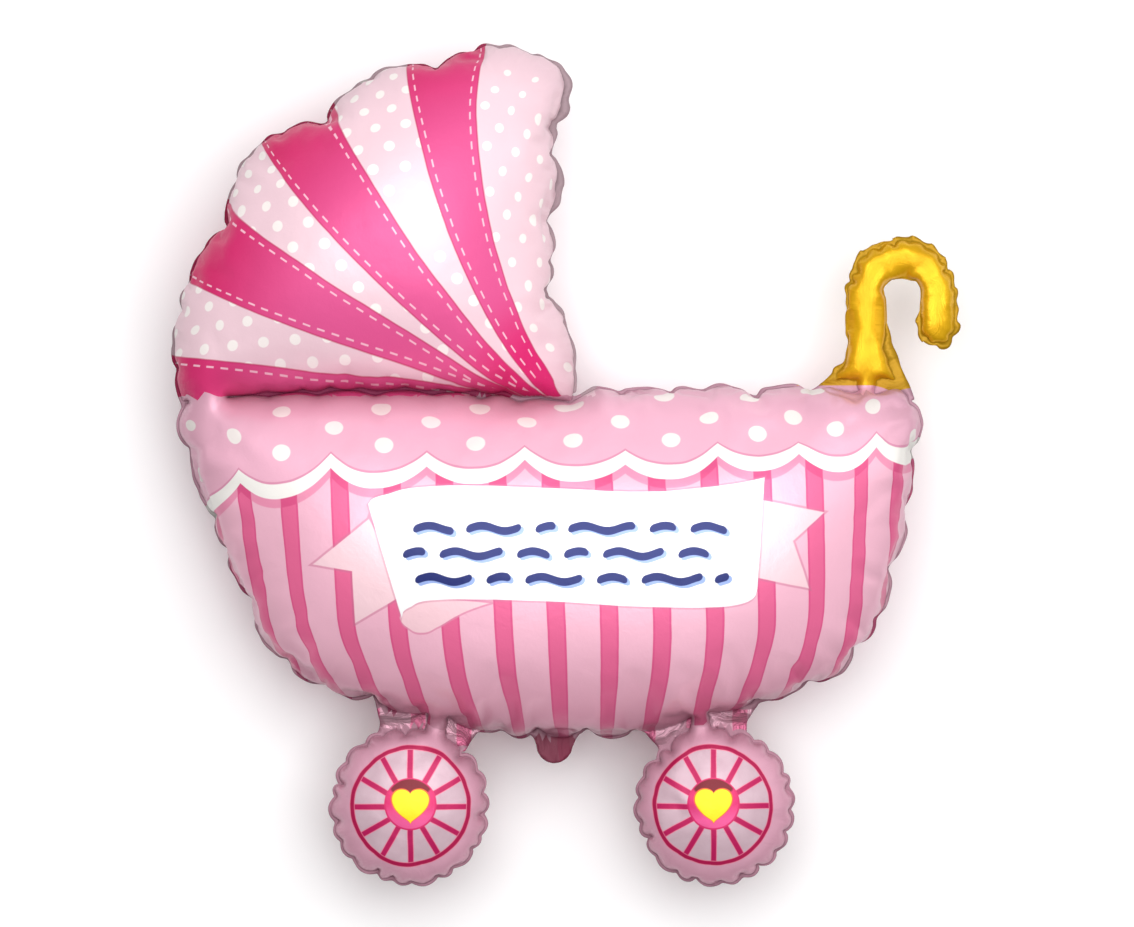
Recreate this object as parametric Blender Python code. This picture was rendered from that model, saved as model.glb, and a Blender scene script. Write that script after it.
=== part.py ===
"""A foil balloon in the shape of a baby carriage, lying face up.

Two printed foil sheets are welded together along one outline, so the whole balloon is one sealed piece.
It is drawn flat first, as a plan: hood, hull, wheels, handle and filling tail, with X to the handle and
Y to the top of the hood. The chambers inside the weld are then blown up to both sides, as a membrane
under pressure takes its shape, and what lies outside the weld stays a flat fin of foil.
"""

import math

import bmesh
import bpy
import numpy as np
from mathutils import Vector
from mathutils.geometry import delaunay_2d_cdt

# Driving dimensions, in metres. The plan's own origin is the hinge point where the hood's ribs meet.
FOIL_THICKNESS = 0.0016  # the two welded sheets, drawn thicker than the real 0.1 mm
FIN_WIDTH = 0.0055  # foil left outside the weld
WELD_STRIP = 0.006  # weld between the hood and the hull
REST_FLAT = 0.004  # how much of the flatter chamber's back is pressed flat by the floor

HOOD_RADIUS = 0.386  # from the hinge point to the hood's rear edge
HOOD_BULGE = 0.118  # half of the hood's thickness
SEAM_RISE = 0.012  # how far the weld between hood and hull arches up
PASSAGE_WIDTH = 0.040  # gas passage at the rear end of that weld

HULL_LENGTH = 0.734
HULL_DEPTH = 0.331  # from the hinge point down to the keel
HULL_REAR = -0.388  # X of the hull's rear edge
HULL_BULGE = 0.122
HULL_LEAN = 0.017  # how far the keel lies nearer to the handle than the rim does
RIM_RISE = 0.0095  # the hull's rim in front of the hood lies this far above the hinge point
RIM_CORNER = 0.026
LEAN_SHARE = 0.65  # share of the hull's depth over which it leans

WHEEL_RADIUS = 0.0750
WHEEL_BULGE = 0.041
WHEEL_DROP = 0.073  # from the keel down to the wheels' centres
WHEEL_SPACING = 0.3054
WHEEL_MIDDLE = -0.0079  # X halfway between the wheels
NECK_WIDTH = 0.020  # gas passage from the hull into a wheel
NECK_SHIFTS = (0.027, -0.015)  # from each wheel's centre to its neck, along X
# The flat foil web above each wheel, as X from the wheel's centre: left and right edge at the hull,
# then left and right edge at the wheel.
WEB_EDGES = ((-0.038, 0.098, -0.043, 0.056), (-0.098, 0.058, -0.056, 0.043))
WEB_BOWS = ((0.011, 0.003), (0.003, 0.018))  # how far those edges bow into the web

HANDLE_X = 0.296  # the handle's column
HANDLE_HEIGHT = 0.108  # from the hinge point up to the centre of the handle's bend
HANDLE_BEND = 0.0355
HANDLE_DROOP = 0.0485  # from the centre of the bend down to the grip's end
HANDLE_BULGE = 0.0150
COLUMN_HALF_WIDTH = 0.0157
GRIP_HALF_WIDTH = 0.0145
FOOT_HALF_WIDTH = 0.018
FOOT_RISE = 0.015  # the pinched foot of the column, above the rim
HANDLE_NECK_WIDTH = 0.016
# The flat foil on each side of the handle's foot: (reach along the rim, height up the column, bow).
FOOT_WEBS = ((0.060, 0.042, 0.0055), (0.0495, 0.072, 0.0))

TAIL_X = -0.0162
TAIL_WIDTH = 0.036
TAIL_LENGTH = 0.030

# The hood's outline, as (angle from the X axis in degrees, share of HOOD_RADIUS, rise of the lobe that
# follows as a share of HOOD_RADIUS): four lobes over the top, then four down its open edge.
HOOD_NOTCHES = (
    (180.0, 1.000, 0.063),
    (152.0, 0.991, 0.080),
    (131.5, 0.950, 0.057),
    (111.0, 0.920, 0.052),
    (92.4, 0.860, 0.022),
    (94.9, 0.723, 0.020),
    (98.5, 0.472, 0.014),
    (104.0, 0.288, 0.030),
)
# The hull's side from rim to keel, as (share of half its length, share of its depth).
HULL_PROFILE = (
    (0.985, 0.012),
    (1.000, 0.070),
    (0.980, 0.165),
    (0.938, 0.335),
    (0.897, 0.480),
    (0.850, 0.622),
    (0.805, 0.720),
    (0.750, 0.792),
    (0.670, 0.842),
    (0.550, 0.888),
    (0.375, 0.938),
    (0.185, 0.988),
    (0.000, 1.000),
)

# Where a curved weld has more foil than room it gathers in puckers, given as (spacing, depth).
PUCKERS = {
    "hull": (0.052, 0.0028),
    "hood": (0.034, 0.0012),
    "handle": (0.0170, 0.0022),
    "wheel": (0.0215, 0.0032),
    "neck": (0.0100, 0.0),
}
STEPS_PER_PUCKER = 3
LONGEST_STEP = 0.0125
CORNER_TURN = 30.0  # degrees; a sharper bend of the weld, or an inward one, parts two runs of puckers
INWARD_TURN = 12.0

RING_DEPTHS = (0.0055, 0.0155)  # rows of points inside the weld, where the bulge is steep
GRID_STEP = 0.0255  # spacing of the points across the chambers
WEB_GRID_STEP = 0.017
ARC_STEP = 0.006
SMALLEST_GAP = 1e-5


def arc_through(start, end, rise, step=ARC_STEP):
    """Points on an arc from start up to, but without, end, that bows to the left by rise."""
    start = np.array(start)
    end = np.array(end)
    chord = end - start
    length = float(np.hypot(*chord))
    count = max(2, math.ceil(length / step))
    if abs(rise) < SMALLEST_GAP:
        return [tuple(start + chord * i / count) for i in range(count)]
    radius = (length * length / 4 + rise * rise) / (2 * rise)
    half_angle = math.asin(min(1.0, length / (2 * abs(radius))))
    along = chord / length
    left = np.array((-along[1], along[0]))
    centre = (start + end) / 2 - left * (radius - rise)
    points = []
    for i in range(count):
        angle = half_angle * (2 * i / count - 1)
        across = abs(radius) * math.sin(angle) * along
        points.append(tuple(centre + across + radius * math.cos(angle) * left))
    return points


def smooth_through(knots, per_span=6):
    """A Catmull-Rom curve through the knots, both ends included."""
    knots = [np.array(k) for k in knots]
    padded = [2 * knots[0] - knots[1], *knots, 2 * knots[-1] - knots[-2]]
    points = []
    for before, a, b, after in zip(padded, padded[1:], padded[2:], padded[3:]):
        linear = b - before
        square = 2 * before - 5 * a + 4 * b - after
        cubic = 3 * a - 3 * b + after - before
        for i in range(per_span):
            t = i / per_span
            points.append(tuple(0.5 * (2 * a + linear * t + square * t**2 + cubic * t**3)))
    points.append(tuple(knots[-1]))
    return points


def circle(centre, radius, step=ARC_STEP):
    count = math.ceil(2 * math.pi * radius / step)
    angles = [2 * math.pi * i / count for i in range(count)]
    return [(centre[0] + radius * math.cos(a), centre[1] + radius * math.sin(a)) for a in angles]


def box(low_x, high_x, low_y, high_y):
    return [(low_x, low_y), (high_x, low_y), (high_x, high_y), (low_x, high_y)]


def wheel_centres():
    """The wheels' centres, rear wheel first."""
    y = -HULL_DEPTH - WHEEL_DROP
    return [(WHEEL_MIDDLE + side * WHEEL_SPACING / 2, y) for side in (-1, 1)]


def seam_points():
    """The weld between hood and hull, from its rear end to the hinge point."""
    return arc_through((HULL_REAR, 0.0), (0.0, 0.0), SEAM_RISE) + [(0.0, 0.0)]


def hood_outline():
    """The lobed hood, down to the upper side of the weld that parts it from the hull."""
    notches = []
    for angle, share, _ in HOOD_NOTCHES:
        turn = math.radians(angle)
        notches.append((HOOD_RADIUS * share * math.cos(turn), HOOD_RADIUS * share * math.sin(turn)))
    notches[0] = (notches[0][0], WELD_STRIP / 2)
    notches.append((0.0, WELD_STRIP / 2))
    outline = []
    for start, end, (_, _, rise) in zip(notches, notches[1:], HOOD_NOTCHES):
        outline += arc_through(start, end, rise * HOOD_RADIUS)
    seam = [(x, y + WELD_STRIP / 2) for x, y in reversed(seam_points())]
    return outline + [p for p in seam if p[0] > notches[0][0]]


def hull_side(sign):
    """One side of the hull from rim to keel: -1 for the rear, 1 for the handle's side."""
    half = HULL_LENGTH / 2
    knots = []
    for width, depth in HULL_PROFILE:
        lean = HULL_LEAN * (1 - math.cos(math.pi * min(1.0, depth / LEAN_SHARE))) / 2
        knots.append((HULL_REAR + half + lean + sign * half * width, -HULL_DEPTH * depth))
    return smooth_through(knots)


def hull_outline():
    front = HULL_REAR + HULL_LENGTH
    seam = [(x, y - WELD_STRIP / 2) for x, y in seam_points()]
    top = [p for p in seam if p[0] > HULL_REAR + RIM_CORNER / 4]
    top.append((RIM_CORNER, RIM_RISE))
    for degrees in range(0, 76, 15):
        turn = math.radians(degrees)
        x = front - RIM_CORNER * (1 - math.sin(turn))
        top.append((x, RIM_RISE - RIM_CORNER * (1 - math.cos(turn))))
    handle_side = [p for p in hull_side(1) if p[1] < top[-1][1] - ARC_STEP / 2]
    return top + handle_side[:-1] + list(reversed(hull_side(-1)))


def handle_path():
    """(point, half width) along the handle, from its foot round the bend to the grip's end."""
    foot = RIM_RISE + FOOT_RISE
    path = []
    for share in (0.0, 0.2, 0.45, 0.75):
        half = FOOT_HALF_WIDTH + (COLUMN_HALF_WIDTH - FOOT_HALF_WIDTH) * min(1, share / 0.45)
        path.append(((HANDLE_X, foot + share * (HANDLE_HEIGHT - foot)), half))
    for degrees in range(0, 181, 12):
        turn = math.radians(degrees)
        x = HANDLE_X + HANDLE_BEND * (1 - math.cos(turn))
        y = HANDLE_HEIGHT + HANDLE_BEND * math.sin(turn)
        half = COLUMN_HALF_WIDTH + (GRIP_HALF_WIDTH - COLUMN_HALF_WIDTH) * degrees / 180
        path.append(((x, y), half))
    end = HANDLE_HEIGHT - HANDLE_DROOP + GRIP_HALF_WIDTH
    for share in (0.5, 1.0):
        y = HANDLE_HEIGHT + share * (end - HANDLE_HEIGHT)
        path.append(((HANDLE_X + 2 * HANDLE_BEND, y), GRIP_HALF_WIDTH))
    return path


def handle_outline():
    """The handle's weld line: up one side of its path, round the grip's end and back."""
    path = handle_path()
    points = [np.array(p) for p, _ in path]
    left, right = [], []
    for i, (_, half) in enumerate(path):
        way = points[min(i + 1, len(path) - 1)] - points[max(i - 1, 0)]
        way = way / np.hypot(*way)
        side = np.array((-way[1], way[0])) * half
        left.append(tuple(points[i] + side))
        right.append(tuple(points[i] - side))
    grip_end = arc_through(left[-1], right[-1], GRIP_HALF_WIDTH, GRIP_HALF_WIDTH / 3)[1:]
    return left + grip_end + list(reversed(right))


def neck_boxes():
    """The gas passages: at the rear of the hood, under the handle and above each wheel."""
    rear = HULL_REAR + RIM_CORNER / 4
    half = HANDLE_NECK_WIDTH / 2
    foot = RIM_RISE + FOOT_RISE
    boxes = [
        box(rear, rear + PASSAGE_WIDTH, -2 * WELD_STRIP, 2 * WELD_STRIP),
        box(HANDLE_X - half, HANDLE_X + half, RIM_RISE - half, foot + half),
    ]
    for (x, y), shift in zip(wheel_centres(), NECK_SHIFTS):
        left = x + shift - NECK_WIDTH / 2
        boxes.append(box(left, left + NECK_WIDTH, y + WHEEL_RADIUS * 0.8, -HULL_DEPTH * 0.88))
    return boxes


def chamber_shapes():
    """(kind, outline) of every gas chamber and passage."""
    shapes = [("hood", hood_outline()), ("hull", hull_outline()), ("handle", handle_outline())]
    shapes += [("wheel", circle(centre, WHEEL_RADIUS)) for centre in wheel_centres()]
    return shapes + [("neck", outline) for outline in neck_boxes()]


def wheel_webs():
    webs = []
    top = -HULL_DEPTH * 0.90
    for (x, y), edges, (bow_left, bow_right) in zip(wheel_centres(), WEB_EDGES, WEB_BOWS):
        waist = y + WHEEL_RADIUS * 0.75
        hull_left, hull_right, low_left, low_right = (x + edge for edge in edges)
        left = arc_through((hull_left, top), (low_left, waist), bow_left)
        right = arc_through((low_right, waist), (hull_right, top), bow_right)
        webs.append(left + [(low_left, waist)] + right + [(hull_right, top)])
    return webs


def foot_web():
    (rear_reach, rear_height, rear_bow), (front_reach, front_height, front_bow) = FOOT_WEBS
    beside = COLUMN_HALF_WIDTH + FIN_WIDTH / 2
    rear_low = (HANDLE_X - rear_reach, RIM_RISE)
    rear_high = (HANDLE_X - beside, RIM_RISE + rear_height)
    front_high = (HANDLE_X + beside, RIM_RISE + front_height)
    front_low = (HANDLE_X + front_reach, RIM_RISE - RIM_CORNER / 3)
    outline = arc_through(rear_low, rear_high, -rear_bow) + [rear_high]
    outline += arc_through(front_high, front_low, -front_bow) + [front_low]
    return outline + [(HANDLE_X, RIM_RISE - RIM_CORNER / 2)]


def tail_outline():
    """The filling tail below the keel, with a round end and a fillet on each side."""
    half = TAIL_WIDTH / 2
    fillet = half * 0.7
    keel = -HULL_DEPTH
    shoulder = keel - fillet
    end = keel - TAIL_LENGTH + half
    left, right = TAIL_X - half, TAIL_X + half
    outline = arc_through((left - fillet, keel), (left, shoulder), fillet * 0.25)
    outline += [(left, shoulder)]
    outline += arc_through((left, end), (right, end), -half, half / 4)
    outline += [(right, end)]
    outline += arc_through((right, shoulder), (right + fillet, keel), fillet * 0.25)
    return outline + [(right + fillet, keel), (right + fillet, keel * 0.95), (left - fillet, keel * 0.95)]


def counterclockwise(outline):
    xs, ys = np.array(outline).T
    area = xs @ np.roll(ys, -1) - ys @ np.roll(xs, -1)
    return list(outline) if area > 0 else list(reversed(outline))


def triangulate(shapes, loose=()):
    """Triangles of overlapping shapes: (points, triangles, the shapes that each triangle lies in)."""
    points, faces = [], []
    for shape in shapes:
        faces.append(list(range(len(points), len(points) + len(shape))))
        points += counterclockwise(shape)
    points += list(loose)
    vectors = [Vector(p) for p in points]
    found = delaunay_2d_cdt(vectors, [], faces, 1, SMALLEST_GAP)
    return np.array([tuple(p) for p in found[0]]), found[2], found[5]


def free_edges(triangles):
    """The directed edges that only one triangle has."""
    edges = {(a, b) for tri in triangles for a, b in zip(tri, tri[1:] + tri[:1])}
    return sorted(edge for edge in edges if (edge[1], edge[0]) not in edges)


def outer_loop(points, triangles):
    """The triangles' outline, counterclockwise."""
    follows = dict(free_edges(triangles))
    start = min(follows)
    loop = [start]
    while follows[loop[-1]] != start:
        loop.append(follows[loop[-1]])
    return points[loop]


def distance_to_outline(points, outline):
    """How far each point lies from a closed outline."""
    start = np.array(outline)
    way = np.roll(start, -1, axis=0) - start
    to_point = np.array(points)[:, None, :] - start[None]
    share = np.clip((to_point * way).sum(-1) / (way * way).sum(-1), 0, 1)
    gap = to_point - share[..., None] * way
    return np.sqrt((gap * gap).sum(-1)).min(axis=1)


def is_inside(points, outline):
    """Which points lie inside a closed outline."""
    start = np.array(outline)
    end = np.roll(start, -1, axis=0)
    x, y = np.array(points).T
    x, y = x[:, None], y[:, None]
    spans = (start[:, 1] > y) != (end[:, 1] > y)
    rise = np.where(end[:, 1] == start[:, 1], 1.0, end[:, 1] - start[:, 1])
    crossing = start[:, 0] + (y - start[:, 1]) * (end[:, 0] - start[:, 0]) / rise
    return (spans & (x < crossing)).sum(axis=1) % 2 == 1


def split_into_runs(loop, kinds):
    """The loop cut at its corners: (points with both ends, kind) of each run."""
    after = np.roll(loop, -1, axis=0) - loop
    before = np.roll(after, 1, axis=0)
    cross = before[:, 0] * after[:, 1] - before[:, 1] * after[:, 0]
    turn = np.degrees(np.arctan2(cross, (before * after).sum(axis=1)))
    count = len(loop)
    corners = [
        i
        for i in range(count)
        if abs(turn[i]) > CORNER_TURN or turn[i] < -INWARD_TURN or kinds[i] != kinds[i - 1]
    ]
    runs = []
    for start, end in zip(corners, corners[1:] + [corners[0] + count]):
        points = [loop[i % count] for i in range(start, end + 1)]
        runs.append((np.array(points), kinds[start]))
    return runs


def pucker(run, kind):
    """The run with even steps and its puckers, without its last point."""
    spacing, depth = PUCKERS[kind]
    lengths = np.hypot(*np.diff(run, axis=0).T)
    travelled = np.concatenate(([0.0], np.cumsum(lengths)))
    total = travelled[-1]
    count = max(1, round(total / spacing))
    steps = max(STEPS_PER_PUCKER if depth else 1, math.ceil(total / count / LONGEST_STEP))
    at = np.linspace(0.0, total, count * steps + 1)[:-1]
    points = np.stack([np.interp(at, travelled, run[:, axis]) for axis in (0, 1)], axis=1)
    segment = np.clip(np.searchsorted(travelled, at, side="right") - 1, 0, len(lengths) - 1)
    way = np.diff(run, axis=0)[segment] / lengths[segment][:, None]
    outward = np.stack([way[:, 1], -way[:, 0]], axis=1)
    phase = np.arange(count * steps) / steps
    inset = depth * (1 - np.abs(np.sin(math.pi * phase)))
    inset[0] = 0.0
    return points - outward * inset[:, None]


def weld_loop():
    """The weld line round all chambers, with its puckers, counterclockwise."""
    shapes = chamber_shapes()
    points, triangles, _ = triangulate([outline for _, outline in shapes])
    loop = outer_loop(points, triangles)
    middles = (loop + np.roll(loop, -1, axis=0)) / 2
    nearest = np.argmin([distance_to_outline(middles, outline) for _, outline in shapes], axis=0)
    kinds = [shapes[i][0] for i in nearest]
    return np.concatenate([pucker(run, kind) for run, kind in split_into_runs(loop, kinds)])


def beside(loop, gap, least_share):
    """Points at a signed gap outside the loop, without those that come too near another part of it."""
    way = np.roll(loop, -1, axis=0) - np.roll(loop, 1, axis=0)
    way /= np.hypot(*way.T)[:, None]
    points = loop + gap * np.stack([way[:, 1], -way[:, 0]], axis=1)
    return points[distance_to_outline(points, loop) > least_share * abs(gap)]


def spread_out(points, gap):
    """The points without those that lie nearer than gap to an earlier one."""
    kept = []
    for point in points:
        if all(math.hypot(point[0] - x, point[1] - y) > gap for x, y in kept):
            kept.append(tuple(point))
    return kept


def hexagonal_grid(low, high, step):
    rows = math.ceil((high[1] - low[1]) / (step * math.sqrt(0.75)))
    columns = math.ceil((high[0] - low[0]) / step)
    return [
        (low[0] + (column + row % 2 / 2) * step, low[1] + row * step * math.sqrt(0.75))
        for row in range(rows + 1)
        for column in range(columns + 1)
    ]


def chamber_points(loop):
    """Points inside the weld: rings along it, then an even grid."""
    near, far = RING_DEPTHS
    rings = list(beside(loop, -near, 0.85)) + list(beside(loop, -far, 0.9)[::2])
    rings = spread_out(rings, near)
    grid = np.array(hexagonal_grid(loop.min(axis=0), loop.max(axis=0), GRID_STEP))
    grid = grid[is_inside(grid, loop)]
    grid = grid[distance_to_outline(grid, loop) > far + GRID_STEP / 2]
    return rings + [tuple(p) for p in grid]


def web_points(webs, loop, fin):
    """Points across the flat webs, clear of their edges, of the weld and of the fin's edge."""
    points = []
    for web in webs:
        grid = np.array(hexagonal_grid(np.min(web, axis=0), np.max(web, axis=0), WEB_GRID_STEP))
        clear = np.minimum(distance_to_outline(grid, web), distance_to_outline(grid, loop))
        clear = np.minimum(clear, distance_to_outline(grid, fin))
        keep = is_inside(grid, web) & ~is_inside(grid, loop) & (clear > WEB_GRID_STEP * 0.4)
        points += [tuple(p) for p in grid[keep]]
    return points


def chamber_at(x, y):
    """Which chamber the point belongs to."""
    if y > RIM_RISE + FOOT_RISE / 2 and x > HANDLE_X - FOOT_HALF_WIDTH:
        return "handle"
    if any(math.hypot(x - wheel_x, y - wheel_y) < WHEEL_RADIUS for wheel_x, wheel_y in wheel_centres()):
        return "wheel"
    return "hood" if y > SEAM_RISE / 2 and x < RIM_CORNER else "hull"


def membrane(points, triangles, loads, held):
    """Deflection of a membrane under one load per triangle, with the held points at zero."""
    triangles = np.array(triangles)
    a, b, c = (points[triangles[:, i]] for i in range(3))
    double_area = (b[:, 0] - a[:, 0]) * (c[:, 1] - a[:, 1]) - (b[:, 1] - a[:, 1]) * (c[:, 0] - a[:, 0])
    opposite = [c - b, a - c, b - a]
    stiffness = np.zeros((len(points), len(points)))
    force = np.zeros(len(points))
    for i in range(3):
        np.add.at(force, triangles[:, i], loads * double_area / 6)
        for j in range(3):
            share = (opposite[i] * opposite[j]).sum(axis=1) / (2 * double_area)
            np.add.at(stiffness, (triangles[:, i], triangles[:, j]), share)
    free = [i for i in sorted(set(triangles.ravel().tolist())) if i not in held]
    deflection = np.zeros(len(points))
    deflection[free] = np.linalg.solve(stiffness[np.ix_(free, free)], force[free])
    return deflection


def inflate(points, triangles, held):
    """Half of the thickness at every point: each chamber is loaded so that it reaches its own bulge."""
    bulges = {"hood": HOOD_BULGE, "hull": HULL_BULGE, "wheel": WHEEL_BULGE, "handle": HANDLE_BULGE}
    middles = [points[list(triangle)].mean(axis=0) for triangle in triangles]
    kinds = np.array([chamber_at(*middle) for middle in middles])
    at_point = np.array([chamber_at(*point) for point in points])
    deflection = membrane(points, triangles, np.ones(len(triangles)), held)
    loads = np.ones(len(triangles))
    for kind, bulge in bulges.items():
        loads[kinds == kind] = bulge**2 / deflection[at_point == kind].max()
    return np.sqrt(membrane(points, triangles, loads, held))


def build_mesh():
    """The closed mesh of both sheets, in the plan's own coordinates."""
    loop = weld_loop()
    fin = beside(loop, FIN_WIDTH, 0.8)
    webs = [*wheel_webs(), foot_web(), tail_outline()]
    loose = chamber_points(loop) + web_points(webs, loop, fin)
    points, triangles, inside = triangulate([loop, fin, *webs], loose)
    blown = [tri for tri, shapes in zip(triangles, inside) if 0 in shapes]
    flat = {i for tri, shapes in zip(triangles, inside) if 0 not in shapes for i in tri}
    held = flat | {i for edge in free_edges(blown) for i in edge}
    height = inflate(points, blown, held)
    floor = min(HULL_BULGE, HOOD_BULGE) - REST_FLAT

    mesh = bmesh.new()
    half = FOIL_THICKNESS / 2
    front = [mesh.verts.new((x, y, half + h)) for (x, y), h in zip(points, height)]
    back = [mesh.verts.new((x, y, -half - min(h, floor))) for (x, y), h in zip(points, height)]
    for triangle in triangles:
        mesh.faces.new([front[i] for i in triangle])
        mesh.faces.new([back[i] for i in reversed(triangle)])
    for a, b in free_edges(triangles):
        mesh.faces.new([front[b], front[a], back[a]])
        mesh.faces.new([front[b], back[a], back[b]])
    loose_verts = [v for v in mesh.verts if not v.link_faces]
    bmesh.ops.delete(mesh, geom=loose_verts, context="VERTS")
    return mesh


def main():
    for thing in list(bpy.data.objects):
        bpy.data.objects.remove(thing)

    mesh = build_mesh()
    xs, ys, zs = zip(*(v.co for v in mesh.verts))
    middle = Vector(((min(xs) + max(xs)) / 2, (min(ys) + max(ys)) / 2, min(zs)))
    bmesh.ops.translate(mesh, vec=-middle, verts=mesh.verts)
    data = bpy.data.meshes.new("foil_envelope")
    mesh.to_mesh(data)
    mesh.free()

    foil = bpy.data.materials.new("printed_foil")
    foil.use_nodes = True
    shader = foil.node_tree.nodes["Principled BSDF"]
    shader.inputs["Base Color"].default_value = (0.86, 0.30, 0.52, 1.0)
    shader.inputs["Roughness"].default_value = 0.25
    data.materials.append(foil)

    collection = bpy.data.collections.new("carriage_foil_balloon")
    bpy.context.scene.collection.children.link(collection)
    collection.objects.link(bpy.data.objects.new("foil_envelope", data))


main()
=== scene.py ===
"""The looks of a baby carriage foil balloon that lies face up on a pale studio floor.

The flat plan of the balloon follows its CAD source: hood, hull, wheels, handle, webs and tail, in metres
from the hinge point, with X to the handle and Y to the top of the hood. Here the handle's foot is wider,
the puckers are deeper, and the mesh is fine enough for creases. The print is laid out on the flat sheet
before it is blown up.
"""

import math

import bpy
import numpy as np
from mathutils import Matrix, Vector
from mathutils.geometry import delaunay_2d_cdt


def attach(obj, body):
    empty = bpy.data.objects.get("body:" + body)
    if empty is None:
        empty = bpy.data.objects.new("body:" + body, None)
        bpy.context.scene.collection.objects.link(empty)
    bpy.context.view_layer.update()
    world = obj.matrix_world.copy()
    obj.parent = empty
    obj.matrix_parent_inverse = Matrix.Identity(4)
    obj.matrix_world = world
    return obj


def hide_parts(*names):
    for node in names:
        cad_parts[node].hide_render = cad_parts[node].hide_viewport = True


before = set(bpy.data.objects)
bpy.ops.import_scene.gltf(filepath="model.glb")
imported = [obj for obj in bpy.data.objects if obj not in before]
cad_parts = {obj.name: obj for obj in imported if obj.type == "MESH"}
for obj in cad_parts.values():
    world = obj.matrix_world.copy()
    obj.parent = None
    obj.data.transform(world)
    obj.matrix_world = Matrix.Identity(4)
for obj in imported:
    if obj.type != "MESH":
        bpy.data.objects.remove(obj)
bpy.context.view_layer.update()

# The plan, with the CAD source's values, except FOOT_FLARE, which widens the handle's foot here.
FIN_WIDTH = 0.0055
WELD_STRIP = 0.006
HOOD_RADIUS = 0.386
HOOD_BULGE = 0.118
SEAM_RISE = 0.012
PASSAGE_WIDTH = 0.040
HULL_LENGTH = 0.734
HULL_DEPTH = 0.331
HULL_REAR = -0.388
HULL_BULGE = 0.122
HULL_LEAN = 0.017
RIM_RISE = 0.0095
RIM_CORNER = 0.026
LEAN_SHARE = 0.65
WHEEL_RADIUS = 0.0750
WHEEL_BULGE = 0.041
WHEEL_DROP = 0.073
WHEEL_SPACING = 0.3054
WHEEL_MIDDLE = -0.0079
NECK_WIDTH = 0.020
NECK_SHIFTS = (0.027, -0.015)
WEB_EDGES = ((-0.038, 0.098, -0.043, 0.056), (-0.098, 0.058, -0.056, 0.043))
WEB_BOWS = ((0.011, 0.003), (0.003, 0.018))
HANDLE_X = 0.296
HANDLE_HEIGHT = 0.108
HANDLE_BEND = 0.0355
HANDLE_DROOP = 0.0485
HANDLE_BULGE = 0.0150
COLUMN_HALF_WIDTH = 0.0157
GRIP_HALF_WIDTH = 0.0145
FOOT_HALF_WIDTH = 0.018
FOOT_RISE = 0.015
FOOT_FLARE = 0.0115
HANDLE_NECK_WIDTH = 0.016
FOOT_WEBS = ((0.060, 0.042, 0.0055), (0.0495, 0.072, 0.0))
TAIL_X = -0.0162
TAIL_WIDTH = 0.036
TAIL_LENGTH = 0.030
HOOD_NOTCHES = (
    (180.0, 1.000, 0.063),
    (152.0, 0.991, 0.080),
    (131.5, 0.950, 0.057),
    (111.0, 0.920, 0.052),
    (92.4, 0.860, 0.022),
    (94.9, 0.723, 0.020),
    (98.5, 0.472, 0.014),
    (104.0, 0.288, 0.030),
)
HULL_PROFILE = (
    (0.985, 0.012),
    (1.000, 0.070),
    (0.980, 0.165),
    (0.938, 0.335),
    (0.897, 0.480),
    (0.850, 0.622),
    (0.805, 0.720),
    (0.750, 0.792),
    (0.670, 0.842),
    (0.550, 0.888),
    (0.375, 0.938),
    (0.185, 0.988),
    (0.000, 1.000),
)
# Where a curved weld gathers in puckers: their spacing and depth, and the fine steps along the weld.
PUCKERS = {
    "hull": (0.052, 0.0034, 0.0046),
    "hood": (0.034, 0.0018, 0.0046),
    "handle": (0.0165, 0.0036, 0.0028),
    "wheel": (0.0225, 0.0046, 0.0033),
    "neck": (0.0100, 0.0, 0.0040),
}
CORNER_TURN = 30.0
INWARD_TURN = 12.0
ARC_STEP = 0.006
SMALLEST_GAP = 1e-6
BLOWN_OUT = 0.0024  # the blown-up foil hides this much of the fin
CALM_BEND = 20.0  # an outward bend of this curvature, 1/m, has full puckers
BACK_PETALS = ((0.300, 0.040), (0.209, 0.030))  # heights on the hood's front edge where back petals peek out
PETAL_WIDTH = 0.0085

# Where the plan's origin and the weld's plane lie in the frame.
PLAN_PLACE = (0.00524779, 0.06375083)
WELD_HEIGHT = 0.1148

# The camera looks straight down from this height above the weld's plane, at this plan place in millimetres.
CAMERA_HEIGHT = 6.0
PICTURE_MIDDLE = (-3.0, -61.5)
PICTURE_WIDTH = 1.134

# The fine mesh.
HALF_FOIL = 0.0003
LOOP_STEP = 0.0046
RING_ARCS = (0.006, 0.013, 0.021, 0.030, 0.040, 0.052, 0.066, 0.080)
GRID_STEP = 0.0090
WEB_STEP = 0.008
PRESS_SOFTNESS = 0.003
SLACK = 0.17  # how much longer than the blown-up shape the foil is at the weld
SLACK_REACH = 0.045
LARGEST_CREASE = 0.009
CLOTH_UNEVENNESS = 0.00015
CLOTH_FRAMES = 14
STRAIGHT_REACH = 0.085
# Single deep creases, from the weld inwards: start and end in millimetres from the hinge point, and depth.
DEEP_CREASES = (
    ((-22, 278), (-52, 296), 0.0050),
    ((-25, 178), (-62, 194), 0.0055),
    ((-22, 90), (-56, 92), 0.0045),
    ((-376, -75), (-345, -84), 0.0045),
    ((-336, -162), (-305, -152), 0.0040),
    ((-306, -225), (-280, -206), 0.0045),
    ((-287, -267), (-268, -236), 0.0040),
    ((-255, -272), (-246, -244), 0.0035),
    ((316, -108), (288, -114), 0.0040),
    ((302, -176), (276, -166), 0.0040),
    ((288, -227), (266, -208), 0.0045),
    ((275, -259), (252, -234), 0.0040),
)
BEND_CREASES = (196, 172, 150, 124, 98, 70, 44, 18, -8)  # directions of the creases inside the handle's bend
STEEPNESS = {"hull": 0.42, "hood": 0.40, "wheel": 0.21, "handle": 0.17, "neck": 0.12}

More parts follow.
